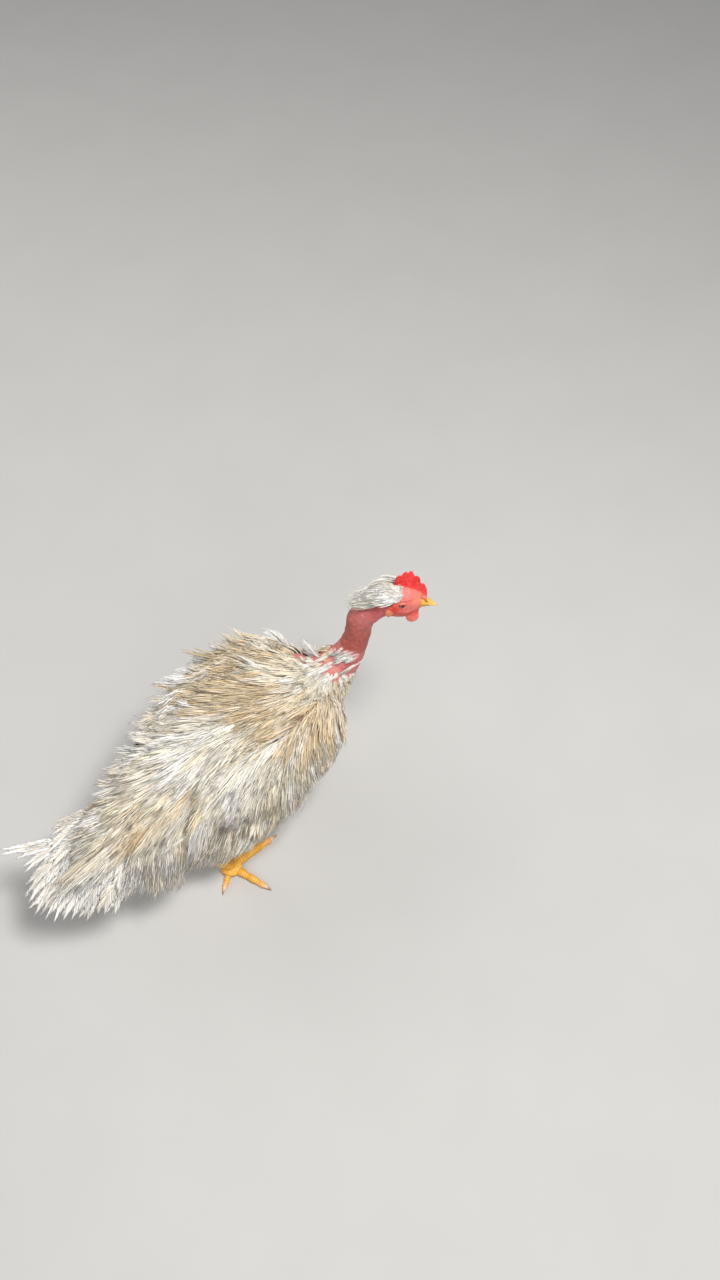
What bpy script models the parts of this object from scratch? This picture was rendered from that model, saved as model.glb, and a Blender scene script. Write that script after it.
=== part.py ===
"""A young naked-neck rooster at life size, standing in mid-stride with its head turned to its right.

Units are metres. The bird is laid out about a point on the floor under its body: +X is forward, +Y is
its left and +Z is up. At the end everything hangs from one empty that puts the origin at the middle of
the bird's box, on the floor. Each object is one named part of the body, and neighbours keep GAP apart.
"""

import math
import random

import bmesh
import bpy
from mathutils import Matrix, Vector
from mathutils.bvhtree import BVHTree

# The gap that touching parts keep, and the point on the floor that becomes the origin.
GAP = 0.0003
BOX_MIDDLE = Vector((-0.0108, -0.0107, 0.0))

# Torso: x, half width, height of the back, height of the belly.
TORSO = (
    (0.1300, 0.0150, 0.1880, 0.1520),
    (0.1220, 0.0340, 0.2080, 0.1330),
    (0.1020, 0.0490, 0.2230, 0.1160),
    (0.0700, 0.0590, 0.2310, 0.1030),
    (0.0300, 0.0620, 0.2340, 0.0980),
    (-0.0100, 0.0600, 0.2340, 0.1010),
    (-0.0480, 0.0540, 0.2320, 0.1140),
    (-0.0800, 0.0440, 0.2290, 0.1350),
    (-0.1050, 0.0330, 0.2240, 0.1560),
    (-0.1220, 0.0250, 0.2180, 0.1700),
)
TORSO_SIDES = 18
TORSO_RINGS = 16

# Neck: middle line and radius, from inside the torso to inside the head, and where it is parted.
NECK_LINE = (
    (0.0850, -0.0040, 0.1800, 0.0330),
    (0.1120, -0.0120, 0.1950, 0.0290),
    (0.1350, -0.0185, 0.2120, 0.0215),
    (0.1510, -0.0230, 0.2330, 0.0162),
    (0.1620, -0.0230, 0.2560, 0.0135),
    (0.1725, -0.0205, 0.2820, 0.0140),
    (0.1930, -0.0350, 0.3050, 0.0125),
)
NECK_FOOT = 0.42
NECK_TOP = 0.85

# Head: middle between the eyes, and which way the beak points, in degrees from straight ahead.
HEAD_MIDDLE = Vector((0.2020, -0.0420, 0.3090))
HEAD_TURN = -36.0
HEAD_DIP = 7.0
HEAD_ROLL = -18.0
# Head: distance forward, half width, height above and below the middle.
SKULL = (
    (-0.0240, 0.0035, 0.0040, 0.0060),
    (-0.0212, 0.0092, 0.0100, 0.0120),
    (-0.0135, 0.0140, 0.0150, 0.0180),
    (-0.0035, 0.0150, 0.0170, 0.0200),
    (0.0065, 0.0138, 0.0162, 0.0195),
    (0.0140, 0.0112, 0.0136, 0.0170),
    (0.0195, 0.0084, 0.0106, 0.0140),
)
BEAK_LENGTH = 0.0200
BEAK_GAPE = 9.0
EYE_PLACE = Vector((0.0000, 0.0113, 0.0020))
EYE_RADIUS = 0.0043
COMB_POINTS = 5

# Legs: hip, thigh, end of the feathered part and hock, then the middle of the foot.
LEGS = {
    "right": {
        "thigh": ((0.0150, -0.0420, 0.1380), (-0.0350, -0.0500, 0.1120), (-0.0770, -0.0470, 0.0900)),
        "hock": (-0.0880, -0.0460, 0.0830),
        "foot": (-0.0580, -0.0560, 0.0085),
        "toes": {"inner": 44.0, "middle": -3.5, "outer": -70.0, "hind": -144.0},
    },
    "left": {
        "thigh": ((0.0700, 0.0420, 0.1400), (0.0360, 0.0450, 0.1080), (0.0130, 0.0400, 0.0850)),
        "hock": (0.0050, 0.0380, 0.0760),
        "foot": (0.0420, 0.0340, 0.0085),
        "toes": {"inner": -48.0, "middle": 2.0, "outer": 52.0, "hind": -168.0},
    },
}
THIGH_RADII = (0.0330, 0.0240, 0.0125)
SHANK_RADIUS = 0.0058
SCUTES = 7
# Toes: length from the middle of the foot to the claw, and radius at the root.
TOES = {
    "inner": (0.0400, 0.0046),
    "middle": (0.0540, 0.0050),
    "outer": (0.0450, 0.0046),
    "hind": (0.0240, 0.0040),
}
PAD_RADIUS = 0.0130
CLAW_LENGTH = 0.0105

# Colours: name, red, green, blue, roughness.
FINISHES = {
    "plumage": (0.86, 0.79, 0.66, 0.85),
    "bare_skin": (0.72, 0.33, 0.31, 0.55),
    "face_skin": (0.80, 0.17, 0.14, 0.50),
    "comb_skin": (0.83, 0.07, 0.06, 0.45),
    "lobe_skin": (0.88, 0.62, 0.42, 0.50),
    "beak_horn": (0.85, 0.66, 0.36, 0.40),
    "leg_scale": (0.80, 0.52, 0.16, 0.50),
    "claw_horn": (0.78, 0.66, 0.48, 0.40),
    "eye_wet": (0.05, 0.03, 0.02, 0.08),
}

# The finish of each kind of part, by the first word of its name.
FINISH_OF = {
    "torso": "plumage", "wing": "plumage", "tail": "plumage", "thigh": "plumage",
    "neck": "bare_skin", "head": "face_skin", "earlobe": "lobe_skin",
    "comb": "comb_skin", "wattle": "comb_skin", "beak": "beak_horn",
    "shank": "leg_scale", "toe": "leg_scale", "claw": "claw_horn", "eye": "eye_wet",
}

DOWN = Vector((0.0, 0.0, -1.0))
BACK = Vector((-1.0, 0.0, 0.0))


def clear_scene():
    for obj in list(bpy.data.objects):
        bpy.data.objects.remove(obj)


def new_collection(name, hidden=False):
    collection = bpy.data.collections.new(name)
    bpy.context.scene.collection.children.link(collection)
    collection.hide_render = hidden
    return collection


def new_material(node):
    red, green, blue, roughness = FINISHES[FINISH_OF[node.split("_")[0]]]
    material = bpy.data.materials.new(node)
    material.use_nodes = True
    shader = material.node_tree.nodes["Principled BSDF"]
    shader.inputs["Base Color"].default_value = (red, green, blue, 1.0)
    shader.inputs["Roughness"].default_value = roughness
    shader.inputs["Metallic"].default_value = 0.0
    return material


# Curves through the named sizes.


def through(rows, place):
    """The row at a place from 0 to 1 along rows of numbers, on a smooth curve through them."""
    reach = place * (len(rows) - 1)
    at = min(int(reach), len(rows) - 2)
    t = reach - at
    before, here, there, after = (rows[min(max(at + k, 0), len(rows) - 1)] for k in (-1, 0, 1, 2))
    made = []
    for p, q, r, s in zip(before, here, there, after):
        bend = (2 * p - 5 * q + 4 * r - s) * t * t + (3 * q - p - 3 * r + s) * t ** 3
        made.append(q + 0.5 * ((r - p) * t + bend))
    return made


def line_point(line, place):
    return Vector(through(line, place)[:3])


def line_tangent(line, place):
    step = 0.01
    return (line_point(line, min(place + step, 1.0)) - line_point(line, max(place - step, 0.0))).normalized()


def torso_row(x):
    """Half width, height of the back and of the belly of the torso at x."""
    low, high = 0.0, 1.0
    for _ in range(30):
        middle = (low + high) / 2
        if through(TORSO, middle)[0] > x:
            low = middle
        else:
            high = middle
    return through(TORSO, low)[1:]


def torso_point(x, turn):
    """A point of the torso's surface. turn is in degrees from the back: 90 is the left side, -90 the right."""
    width, top, bottom = torso_row(x)
    angle = math.radians(turn)
    middle = bottom + (top - bottom) * 0.52
    height = top - middle if math.cos(angle) > 0 else middle - bottom
    return Vector((x, width * math.sin(angle), middle + height * math.cos(angle)))


def torso_frame(x, turn):
    """The surface point, its outward normal and the direction down round the body there."""
    point = torso_point(x, turn)
    across = (torso_point(x, turn + 2) - torso_point(x, turn - 2)).normalized()
    along = (torso_point(x - 0.004, turn) - torso_point(x + 0.004, turn)).normalized()
    normal = along.cross(across).normalized()
    if normal.dot(point - Vector((x, 0.0, 0.17))) < 0:
        normal.negate()
    return point, normal, across if turn >= 0 else -across


# Mesh makers.


def new_object(name, mesh, collection):
    obj = bpy.data.objects.new(name, mesh)
    collection.objects.link(obj)
    return obj


def loft(name, rings, collection):
    """One closed body through rings of equal length, with a flat cap on each end or a point for a ring of one."""
    shape = bmesh.new()
    made = [[shape.verts.new(p) for p in ring] for ring in rings]
    for first, second in zip(made, made[1:]):
        count = max(len(first), len(second))
        for i in range(count):
            j = (i + 1) % count
            if len(second) == 1:
                shape.faces.new((first[i], first[j], second[0]))
            elif len(first) == 1:
                shape.faces.new((first[0], second[j], second[i]))
            else:
                shape.faces.new((first[i], first[j], second[j]))
                shape.faces.new((first[i], second[j], second[i]))
    if len(made[0]) > 2:
        shape.faces.new(list(reversed(made[0])))
    if len(made[-1]) > 2:
        shape.faces.new(made[-1])
    bmesh.ops.recalc_face_normals(shape, faces=shape.faces)
    bmesh.ops.triangulate(shape, faces=shape.faces)
    mesh = bpy.data.meshes.new(name)
    shape.to_mesh(mesh)
    shape.free()
    return new_object(name, mesh, collection)


def tube_ring(middle, tangent, radius, sides, flat=1.0, floor=None, side=None):
    """A ring across the tangent; flat squeezes it sideways, and floor keeps it above a height."""
    if side is None:
        side = tangent.cross(Vector((0.0, 0.0, 1.0)))
    side = side - tangent * side.dot(tangent)
    side = side.normalized() if side.length > 1e-4 else Vector((0.0, 1.0, 0.0))
    up = side.cross(tangent).normalized()
    ring = []
    for i in range(sides):
        angle = 2 * math.pi * (i + 0.5) / sides
        point = middle + side * (radius * flat * math.cos(angle)) + up * (radius * math.sin(angle))
        if floor is not None:
            point.z = max(point.z, floor)
        ring.append(point)
    return ring


def tube(name, line, start, end, rings, sides, collection, flat=1.0):
    """A stretch of a line whose fourth number is its radius, with flat caps."""
    made = []
    for i in range(rings):
        place = start + (end - start) * i / (rings - 1)
        made.append(tube_ring(line_point(line, place), line_tangent(line, place), through(line, place)[3], sides,
                              flat, side=Vector((0.0, -1.0, 0.0))))
    return loft(name, made, collection)


def line_length(line):
    points = [line_point(line, i / 40) for i in range(41)]
    return sum((b - a).length for a, b in zip(points, points[1:]))


# Booleans.


def bake(obj):
    """The object's evaluated mesh put in place of its own, with no modifiers left."""
    graph = bpy.context.evaluated_depsgraph_get()
    mesh = bpy.data.meshes.new_from_object(obj.evaluated_get(graph))
    obj.modifiers.clear()
    obj.data = mesh


def boolean(obj, operation, other=None, collection=None, solver="EXACT"):
    modifier = obj.modifiers.new(operation.lower(), "BOOLEAN")
    modifier.operation = operation
    modifier.solver = solver
    if collection is not None:
        modifier.operand_type = "COLLECTION"
        modifier.collection = collection
    else:
        modifier.object = other
    bake(obj)


def keep_largest(obj):
    """Leaves the closed surface with the largest volume and drops loose scraps and sealed hollows."""
    shape = bmesh.new()
    shape.from_mesh(obj.data)
    bmesh.ops.remove_doubles(shape, verts=shape.verts, dist=2e-7)
    bmesh.ops.dissolve_degenerate(shape, edges=shape.edges, dist=1e-7)
    bmesh.ops.triangulate(shape, faces=shape.faces)
    unseen = set(shape.faces)
    islands = []
    while unseen:
        stack = [unseen.pop()]
        island = []
        while stack:
            face = stack.pop()
            island.append(face)
            for edge in face.edges:
                for near in edge.link_faces:
                    if near in unseen:
                        unseen.remove(near)
                        stack.append(near)
        islands.append(island)

    def volume(island):
        return sum(f.verts[0].co.dot(f.verts[1].co.cross(f.verts[2].co)) for f in island) / 6

    islands.sort(key=lambda island: abs(volume(island)))
    for island in islands[:-1]:
        bmesh.ops.delete(shape, geom=island, context="FACES")
    loose = [v for v in shape.verts if not v.link_faces]
    bmesh.ops.delete(shape, geom=loose, context="VERTS")
    shape.to_mesh(obj.data)
    shape.free()


def grown(obj, distance, collection):
    """A copy of a closed mesh with its surface moved out."""
    shape = bmesh.new()
    shape.from_mesh(obj.data)
    shape.normal_update()
    moves = [(v, v.normal.copy() * distance) for v in shape.verts]
    for vert, move in moves:
        vert.co += move
    mesh = bpy.data.meshes.new(obj.name + "_grown")
    shape.to_mesh(mesh)
    shape.free()
    return new_object(obj.name + "_grown", mesh, collection)


def cut_clear(obj, neighbours, collection):
    """Cuts obj clear of its neighbours by the gap."""
    for neighbour in neighbours:
        cutter = grown(neighbour, GAP, collection)
        boolean(obj, "DIFFERENCE", cutter)
        bpy.data.objects.remove(cutter)
    keep_largest(obj)


def fuse(obj, pieces, solver="MANIFOLD"):
    """Joins pieces to obj in one union and removes them."""
    if pieces:
        group = new_collection(obj.name + "_pieces", hidden=True)
        for piece in pieces:
            for owner in list(piece.users_collection):
                owner.objects.unlink(piece)
            group.objects.link(piece)
        boolean(obj, "UNION", collection=group, solver=solver)
        for piece in pieces:
            bpy.data.objects.remove(piece)
        bpy.data.collections.remove(group)
    keep_largest(obj)


# Feathers and locks.

ROUND_VANE = (0.60, 1.0, 1.0, 0.86, 0.50)
RAGGED_LOCK = (0.70, 1.0, 0.80, 0.42)


def vane(name, root, along, normal, size, collection, profile=RAGGED_LOCK, sink=0.004, lift=0.0, droop=0.0,
         sway=0.0, tilt=0.0, grow=0.0):
    """One feather or lock: a flat, tapered body of four sides from a sunk root to a pointed tip.

    size is its length, width and thickness. lift raises it off its root and tilt turns it about its own length,
    in degrees. droop and sway bend its tip down and to its side as a share of the length, and grow makes it
    stouter on every side.
    """
    length, width, thickness = size
    along = along.normalized()
    side = normal.cross(along).normalized()
    up = along.cross(side).normalized()
    along = (along * math.cos(math.radians(lift)) + up * math.sin(math.radians(lift))).normalized()
    up = along.cross(side).normalized()
    bend = DOWN * droop + side * sway
    turn = math.radians(tilt)
    side, up = side * math.cos(turn) + up * math.sin(turn), up * math.cos(turn) - side * math.sin(turn)
    start = root - along * sink - normal.normalized() * sink * 0.5
    rings = []
    steps = len(profile)
    for i, share in enumerate(profile):
        s = i / steps
        middle = start + along * (length * s) + bend * (length * s * s)
        half = width * share / 2 + grow
        thick = thickness * (1 - 0.55 * s) / 2 + grow
        rings.append([middle + side * half, middle + up * thick, middle - side * half, middle - up * thick])
    rings.append([start + along * (length + grow) + bend * length])
    return loft(name, rings, collection)


class Plumage:
    """Puts locks and vanes on the parts, each kept clear of every other part."""

    def __init__(self, collection):
        self.collection = collection
        self.trees = {}
        self.pieces = {}
        self.random = random.Random(7)

    def add_solid(self, node, obj):
        self.trees.setdefault(node, []).append(self.tree(obj))

    def tree(self, obj):
        mesh = obj.data
        return BVHTree.FromPolygons([v.co for v in mesh.vertices], [tuple(p.vertices) for p in mesh.polygons])

    def is_clear(self, node, obj):
        tree = self.tree(obj)
        if min(v.co.z for v in obj.data.vertices) < GAP:
            return False
        return not any(tree.overlap(t) for other, trees in self.trees.items() if other != node for t in trees)

    def place(self, node, root, along, normal, size, lift=0.0, **shape):
        """Adds one lock, raised or shortened until it is clear of the other parts, or left out."""
        for shorter in (1.0, 0.8, 0.62):
            for raise_by in (0.0, 7.0, 15.0, 24.0):
                made = (size[0] * shorter, size[1], size[2])
                test = vane("trial", root, along, normal, made, self.collection, lift=lift + raise_by, grow=GAP * 1.2, **shape)
                clear = self.is_clear(node, test)
                bpy.data.objects.remove(test)
                if clear:
                    count = len(self.pieces.setdefault(node, []))
                    piece = vane(f"{node}_{count}", root, along, normal, made, self.collection, lift=lift + raise_by, **shape)
                    self.pieces[node].append(piece)
                    self.add_solid(node, piece)
                    return

    def vary(self, value, share=0.12):
        return value * (1 + self.random.uniform(-share, share))


# The parts.


def build_torso(parts, helpers):
    rings = []
    for i in range(TORSO_RINGS):
        x = through(TORSO, i / (TORSO_RINGS - 1))[0]
        rings.append([torso_point(x, 360 * k / TORSO_SIDES) for k in range(TORSO_SIDES)])
    front = sum(rings[0], Vector()) / TORSO_SIDES + Vector((0.0035, 0.0, 0.0))
    torso = loft("torso", [[front]] + rings, parts)
    stump = tube("stump", NECK_LINE, 0.0, NECK_FOOT, 6, 14, helpers)
    fuse(torso, [stump], solver="EXACT")
    return torso


def build_neck(parts):
    share = GAP / line_length(NECK_LINE)
    return tube("neck", NECK_LINE, NECK_FOOT + share, NECK_TOP - share, 9, 14, parts)


def head_matrix():
    turn = Matrix.Rotation(math.radians(HEAD_TURN), 4, "Z")
    dip = Matrix.Rotation(math.radians(HEAD_DIP), 4, "Y")
    roll = Matrix.Rotation(math.radians(HEAD_ROLL), 4, "X")
    return Matrix.Translation(HEAD_MIDDLE) @ turn @ dip @ roll


def skull_row(forward):
    """The skull's size at a distance forward of its middle."""
    low, high = 0.0, 1.0
    for _ in range(30):
        middle = (low + high) / 2
        if through(SKULL, middle)[0] < forward:
            low = middle
        else:
            high = middle
    return through(SKULL, low)


def skull_ring(row, sides=14):
    forward, width, top, bottom = row
    ring = []
    for k in range(sides):
        angle = 2 * math.pi * k / sides
        height = top if math.sin(angle) > 0 else bottom
        ring.append(Vector((forward, width * math.cos(angle), height * math.sin(angle))))
    return ring


def sphere(name, middle, radius, collection, segments=12, rings=8, scale=(1.0, 1.0, 1.0)):
    shape = bmesh.new()
    bmesh.ops.create_uvsphere(shape, u_segments=segments, v_segments=rings, radius=radius)
    bmesh.ops.transform(shape, matrix=Matrix.Translation(middle) @ Matrix.Diagonal((*scale, 1.0)), verts=shape.verts)
    bmesh.ops.triangulate(shape, faces=shape.faces)
    mesh = bpy.data.meshes.new(name)
    shape.to_mesh(mesh)
    shape.free()
    return new_object(name, mesh, collection)


def box(name, middle, size, collection):
    shape = bmesh.new()
    bmesh.ops.create_cube(shape, size=1.0)
    bmesh.ops.transform(shape, matrix=Matrix.Translation(middle) @ Matrix.Diagonal((*size, 1.0)), verts=shape.verts)
    mesh = bpy.data.meshes.new(name)
    shape.to_mesh(mesh)
    shape.free()
    return new_object(name, mesh, collection)


def settled(obj):
    """Puts an object's place and turn into its mesh."""
    obj.data.transform(obj.matrix_basis)
    obj.matrix_basis = Matrix.Identity(4)
    return obj


def build_head(parts, helpers):
    """The skull with its lids and eye sockets, the beak, eyes, comb, wattles and ear lobes."""
    place = head_matrix()
    rings = [skull_ring(through(SKULL, i / 9)) for i in range(10)]
    rings.insert(0, [Vector((SKULL[0][0] - 0.001, 0.0, -0.001))])
    head = loft("head", rings, parts)
    nodes = {"head": head}
    lids = []
    for side, sign in (("left", 1), ("right", -1)):
        middle = Vector((EYE_PLACE.x, EYE_PLACE.y * sign, EYE_PLACE.z))
        bpy.ops.mesh.primitive_torus_add(
            major_segments=9, minor_segments=4, major_radius=EYE_RADIUS * 0.90, minor_radius=0.0010,
            location=middle + Vector((0.0, 0.0028 * sign, 0.0)), rotation=(math.radians(90 - 8 * sign), 0.0, math.radians(-10 * sign)),
        )
        lids.append(settled(bpy.context.object))
        nodes[f"eye_{side}"] = sphere(f"eye_{side}", middle, EYE_RADIUS, parts, 10, 7)
    stump = tube("stump", NECK_LINE, NECK_TOP, 0.985, 5, 14, helpers)
    stump.data.transform(place.inverted())
    for sign in (1, -1):
        bpy.ops.mesh.primitive_torus_add(
            major_segments=7, minor_segments=3, major_radius=0.0024, minor_radius=0.0008,
            location=(-0.0115, 0.0140 * sign, 0.0012), rotation=(math.radians(90), 0.0, math.radians(12 * sign)),
        )
        lids.append(settled(bpy.context.object))
    fuse(head, lids + [stump], solver="EXACT")
    for sign in (1, -1):
        groove = box("groove", Vector((SKULL[-1][0] - 0.0020, 0.0081 * sign, -0.0042)), (0.0075, 0.0022, 0.0008), helpers)
        boolean(head, "DIFFERENCE", groove)
        bpy.data.objects.remove(groove)
    for side in ("left", "right"):
        cutter = grown(nodes[f"eye_{side}"], GAP, helpers)
        boolean(head, "DIFFERENCE", cutter)
        bpy.data.objects.remove(cutter)
    keep_largest(head)

    root = SKULL[-1][0] + GAP
    nodes["beak_upper"] = loft("beak_upper", beak_rings(root, 1), parts)
    nodes["beak_lower"] = loft("beak_lower", beak_rings(root, -1), parts)
    for sign in (1, -1):
        pit = sphere("nostril", Vector((root + 0.0060, 0.0046 * sign, 0.0010)), 0.0012, helpers, 8, 6, (1.5, 0.9, 0.7))
        boolean(nodes["beak_upper"], "DIFFERENCE", pit)
        bpy.data.objects.remove(pit)
    keep_largest(nodes["beak_upper"])
    nodes["comb"] = build_comb(head, nodes["beak_upper"], parts, helpers)
    for side, sign in (("left", 1), ("right", -1)):
        wattle = sphere(f"wattle_{side}", Vector((0.0140, 0.0062 * sign, -0.0205)), 0.0085, parts, 10, 8, (0.90, 0.32, 1.0))
        cut_clear(wattle, [head, nodes["beak_lower"]], helpers)
        nodes[f"wattle_{side}"] = wattle
        lobe = sphere(f"earlobe_{side}", Vector((-0.0115, 0.0130 * sign, -0.0084)), 0.0058, parts, 8, 6, (0.85, 0.48, 1.0))
        cut_clear(lobe, [head], helpers)
        nodes[f"earlobe_{side}"] = lobe
    for obj in nodes.values():
        obj.data.transform(place)
    return nodes


def beak_rings(root, sign):
    """Half of the beak, the upper one for sign 1: it starts flat against the face and hooks down at the tip."""
    length = BEAK_LENGTH if sign > 0 else BEAK_LENGTH * 0.80
    rings = []
    for i in range(6):
        s = i / 6
        width = 0.0072 * (1 - s) ** 0.62
        tall = (0.0082 if sign > 0 else 0.0048) * (1 - s) ** 0.70
        forward = root + length * s
        parting = -0.0040 - (0.0050 * s * s if sign > 0 else 0.0)
        open_by = math.tan(math.radians(BEAK_GAPE)) * length * s if sign < 0 else 0.0
        edge = parting - open_by + (GAP if sign > 0 else -GAP) * 0.6
        ring = [Vector((forward, width, edge)), Vector((forward, -width, edge))]
        for k in range(1, 6):
            angle = math.pi * k / 6
            ring.append(Vector((forward, -width * math.cos(angle), edge + sign * tall * math.sin(angle))))
        rings.append(ring)
    tip = Vector((root + length, 0.0, -0.0095 if sign > 0 else -0.0062 - math.tan(math.radians(BEAK_GAPE)) * length))
    rings.append([tip])
    return rings


def build_comb(head, beak, parts, helpers):
    """A single upright comb: a blade with points, highest over the eye."""
    start, end, height = -0.0060, 0.0250, 0.0245
    steps = COMB_POINTS * 2
    top = []
    for i in range(steps + 1):
        s = i / steps
        rise = height * math.sin(math.pi * min(1.0, 0.22 + 0.78 * s)) ** 0.8
        notch = 0.0050 if i % 2 else 0.0
        top.append((start - 0.0020 + (end - start + 0.0030) * s, 0.0110 + rise - notch))
    outline = [(start, 0.0080)] + top + [(end + 0.0010, 0.0030)]
    rings = []
    for forward, tall in outline:
        low = 0.0050 if forward < 0.016 else 0.0010
        half_low, half_top = 0.0024, 0.0011
        ring = [Vector((forward, half_low, low)), Vector((forward, half_top, max(tall, low + 0.002)))]
        rings.append(ring + [Vector((p.x, -p.y, p.z)) for p in reversed(ring)])
    comb = loft("comb", rings[1:-1], parts)
    cut_clear(comb, [head, beak], helpers)
    return comb


def build_leg(side, parts, helpers, torso):
    """A feathered thigh, a scaly shank with the pad of the foot, four toes and their claws."""
    spec = LEGS[side]
    sign = 1 if side == "left" else -1
    nodes = {}
    thigh_line = [(*p, r) for p, r in zip(spec["thigh"], THIGH_RADII)]
    rings = []
    start, leave = line_point(thigh_line, 0.0), line_tangent(thigh_line, 0.0)
    for angle in (80, 55, 28):
        reach = THIGH_RADII[0] * math.sin(math.radians(angle))
        rings.append(tube_ring(start - leave * reach, leave, THIGH_RADII[0] * math.cos(math.radians(angle)), 14))
    for i in range(9):
        place = i / 8
        rings.append(tube_ring(line_point(thigh_line, place), line_tangent(thigh_line, place),
                               through(thigh_line, place)[3], 14))
    thigh = loft(f"thigh_{side}", rings, parts)
    cut_clear(thigh, [torso], helpers)
    nodes[f"thigh_{side}"] = thigh

    end, hock, foot = Vector(spec["thigh"][2]), Vector(spec["hock"]), Vector(spec["foot"])
    leave = line_tangent(thigh_line, 1.0)
    shank_line = (
        (*hock, 0.0076),
        (*hock.lerp(foot, 0.25), SHANK_RADIUS),
        (*hock.lerp(foot, 0.55), SHANK_RADIUS * 0.94),
        (*hock.lerp(foot, 0.85), SHANK_RADIUS * 1.08),
        (*foot, 0.0062),
    )
    rings = []
    steps = SCUTES * 2
    for i in range(steps + 1):
        place = i / steps
        plate = 0.00035 if i % 2 else -0.00015
        rings.append(tube_ring(line_point(shank_line, place), line_tangent(shank_line, place),
                               through(shank_line, place)[3] + plate, 8))
    shank = loft(f"shank_{side}", rings, parts)
    start = end + leave * GAP
    stump = loft("stump", [tube_ring(start, leave, 0.0088, 10), tube_ring(hock, leave, 0.0078, 10)], helpers)
    knob = sphere("knob", hock, 0.0092, helpers, 10, 6)
    pad = sphere("pad", Vector((foot.x, foot.y, 0.0060)), PAD_RADIUS, helpers, 12, 7, (1.0, 1.0, 0.60))
    floor_flat(pad)
    pieces = [stump, knob, pad]
    spur_root = hock.lerp(foot, 0.68) + Vector((-0.0030, -0.0030 * sign, 0.0))
    pieces.append(vane("spur", spur_root, Vector((-0.6, -0.8 * sign, 0.05)), Vector((0.0, 0.0, 1.0)),
                       (0.0090, 0.0052, 0.0052), helpers, profile=(1.0, 0.95, 0.8, 0.5), sink=0.003))
    fuse(shank, pieces, solver="EXACT")
    nodes[f"shank_{side}"] = shank
    for toe, turn in spec["toes"].items():
        length, radius = TOES[toe]
        heading = Vector((math.cos(math.radians(turn)), math.sin(math.radians(turn)), 0.0))
        made = loft(f"toe_{toe}_{side}", toe_rings(foot, heading, radius, length, PAD_RADIUS * 0.6, length), parts)
        cut_clear(made, [shank], helpers)
        nodes[f"toe_{toe}_{side}"] = made
        nodes[f"claw_{toe}_{side}"] = loft(f"claw_{toe}_{side}", claw_rings(foot, heading, radius, length), parts)
    return nodes


def floor_flat(obj):
    """Presses what would reach under the floor up to it, so the pad has a small flat."""
    for vert in obj.data.vertices:
        vert.co.z = max(vert.co.z, 0.0)


def toe_radius(radius, length, reach):
    """The toe swells at its pads and thins towards the claw."""
    share = max(reach, 0.0) / length
    return radius * (1.0 - 0.34 * share) * (1.0 + 0.09 * math.cos(share * math.pi * 6))


def toe_middle(foot, heading, radius, length, reach):
    size = toe_radius(radius, length, reach)
    return Vector((foot.x, foot.y, 0.0)) + heading * reach + Vector((0.0, 0.0, size * 0.86))


def toe_rings(foot, heading, radius, length, start, end):
    steps = 7
    rings = []
    for i in range(steps):
        reach = start + (end - start) * i / (steps - 1)
        size = toe_radius(radius, length, reach)
        rings.append(tube_ring(toe_middle(foot, heading, radius, length, reach), heading, size, 7, 1.05, floor=0.0))
    return rings


def claw_rings(foot, heading, radius, length):
    """A claw that starts against the toe's end and curves down to just above the floor."""
    root = toe_middle(foot, heading, radius, length, length)
    size = toe_radius(radius, length, length) * 0.80
    rings = []
    for i in range(5):
        s = i / 5
        middle = root + heading * (GAP + CLAW_LENGTH * s) + Vector((0.0, 0.0, 0.0012 * math.sin(math.pi * s) - 0.0008 * s))
        slope = (heading - Vector((0.0, 0.0, 0.5 * s * s))).normalized() if i else heading
        rings.append(tube_ring(middle, slope, size * (1 - s) ** 0.75, 6, 0.8, floor=0.0004))
    rings.append([root + heading * (GAP + CLAW_LENGTH) + Vector((0.0, 0.0, 0.0007 - root.z))])
    return rings


def build_wing(side, parts, helpers, torso):
    """The folded arm of the wing: a flattened body that lies on the torso's side."""
    sign = 1 if side == "left" else -1
    stations = (
        (0.108, 70.0, 0.012, 0.006),
        (0.098, 72.0, 0.024, 0.011),
        (0.072, 74.0, 0.036, 0.013),
        (0.036, 76.0, 0.040, 0.013),
        (0.000, 76.0, 0.037, 0.012),
        (-0.034, 74.0, 0.028, 0.009),
        (-0.062, 72.0, 0.014, 0.006),
    )
    rings = []
    for i in range(10):
        x, turn, tall, thick = through(stations, i / 9)
        point, normal, across = torso_frame(x, turn * sign)
        ring = []
        for k in range(10):
            angle = 2 * math.pi * k / 10
            ring.append(point + across * (tall * math.cos(angle)) + normal * (0.002 + thick * math.sin(angle)))
        rings.append(ring)
    wing = loft(f"wing_{side}", rings, parts)
    cut_clear(wing, [torso], helpers)
    return wing


def build_tail(parts, helpers, torso):
    """The root of the tail: a wedge of quills and down that the tail feathers grow from."""
    stations = (
        (-0.1223, 0.0000, 0.0240, 0.0225, 0.1940),
        (-0.1380, -0.0010, 0.0240, 0.0200, 0.1900),
        (-0.1550, -0.0020, 0.0220, 0.0140, 0.1840),
        (-0.1720, -0.0020, 0.0160, 0.0080, 0.1780),
        (-0.1850, -0.0020, 0.0080, 0.0040, 0.1730),
    )
    rings = []
    for i in range(9):
        x, middle, width, tall, height = through(stations, i / 8)
        ring = []
        for k in range(14):
            angle = 2 * math.pi * k / 14
            ring.append(Vector((x, middle + width * math.cos(angle), height + tall * math.sin(angle))))
        rings.append(ring)
    tail = loft("tail", rings, parts)
    cut_clear(tail, [torso], helpers)
    return tail


def lie_on_torso(x, turn, down_share):
    """Where a feather of the torso grows, its outward normal, and its lie: back and down round the body."""
    point, normal, across = torso_frame(x, turn)
    return point, normal, BACK + across * down_share


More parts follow.
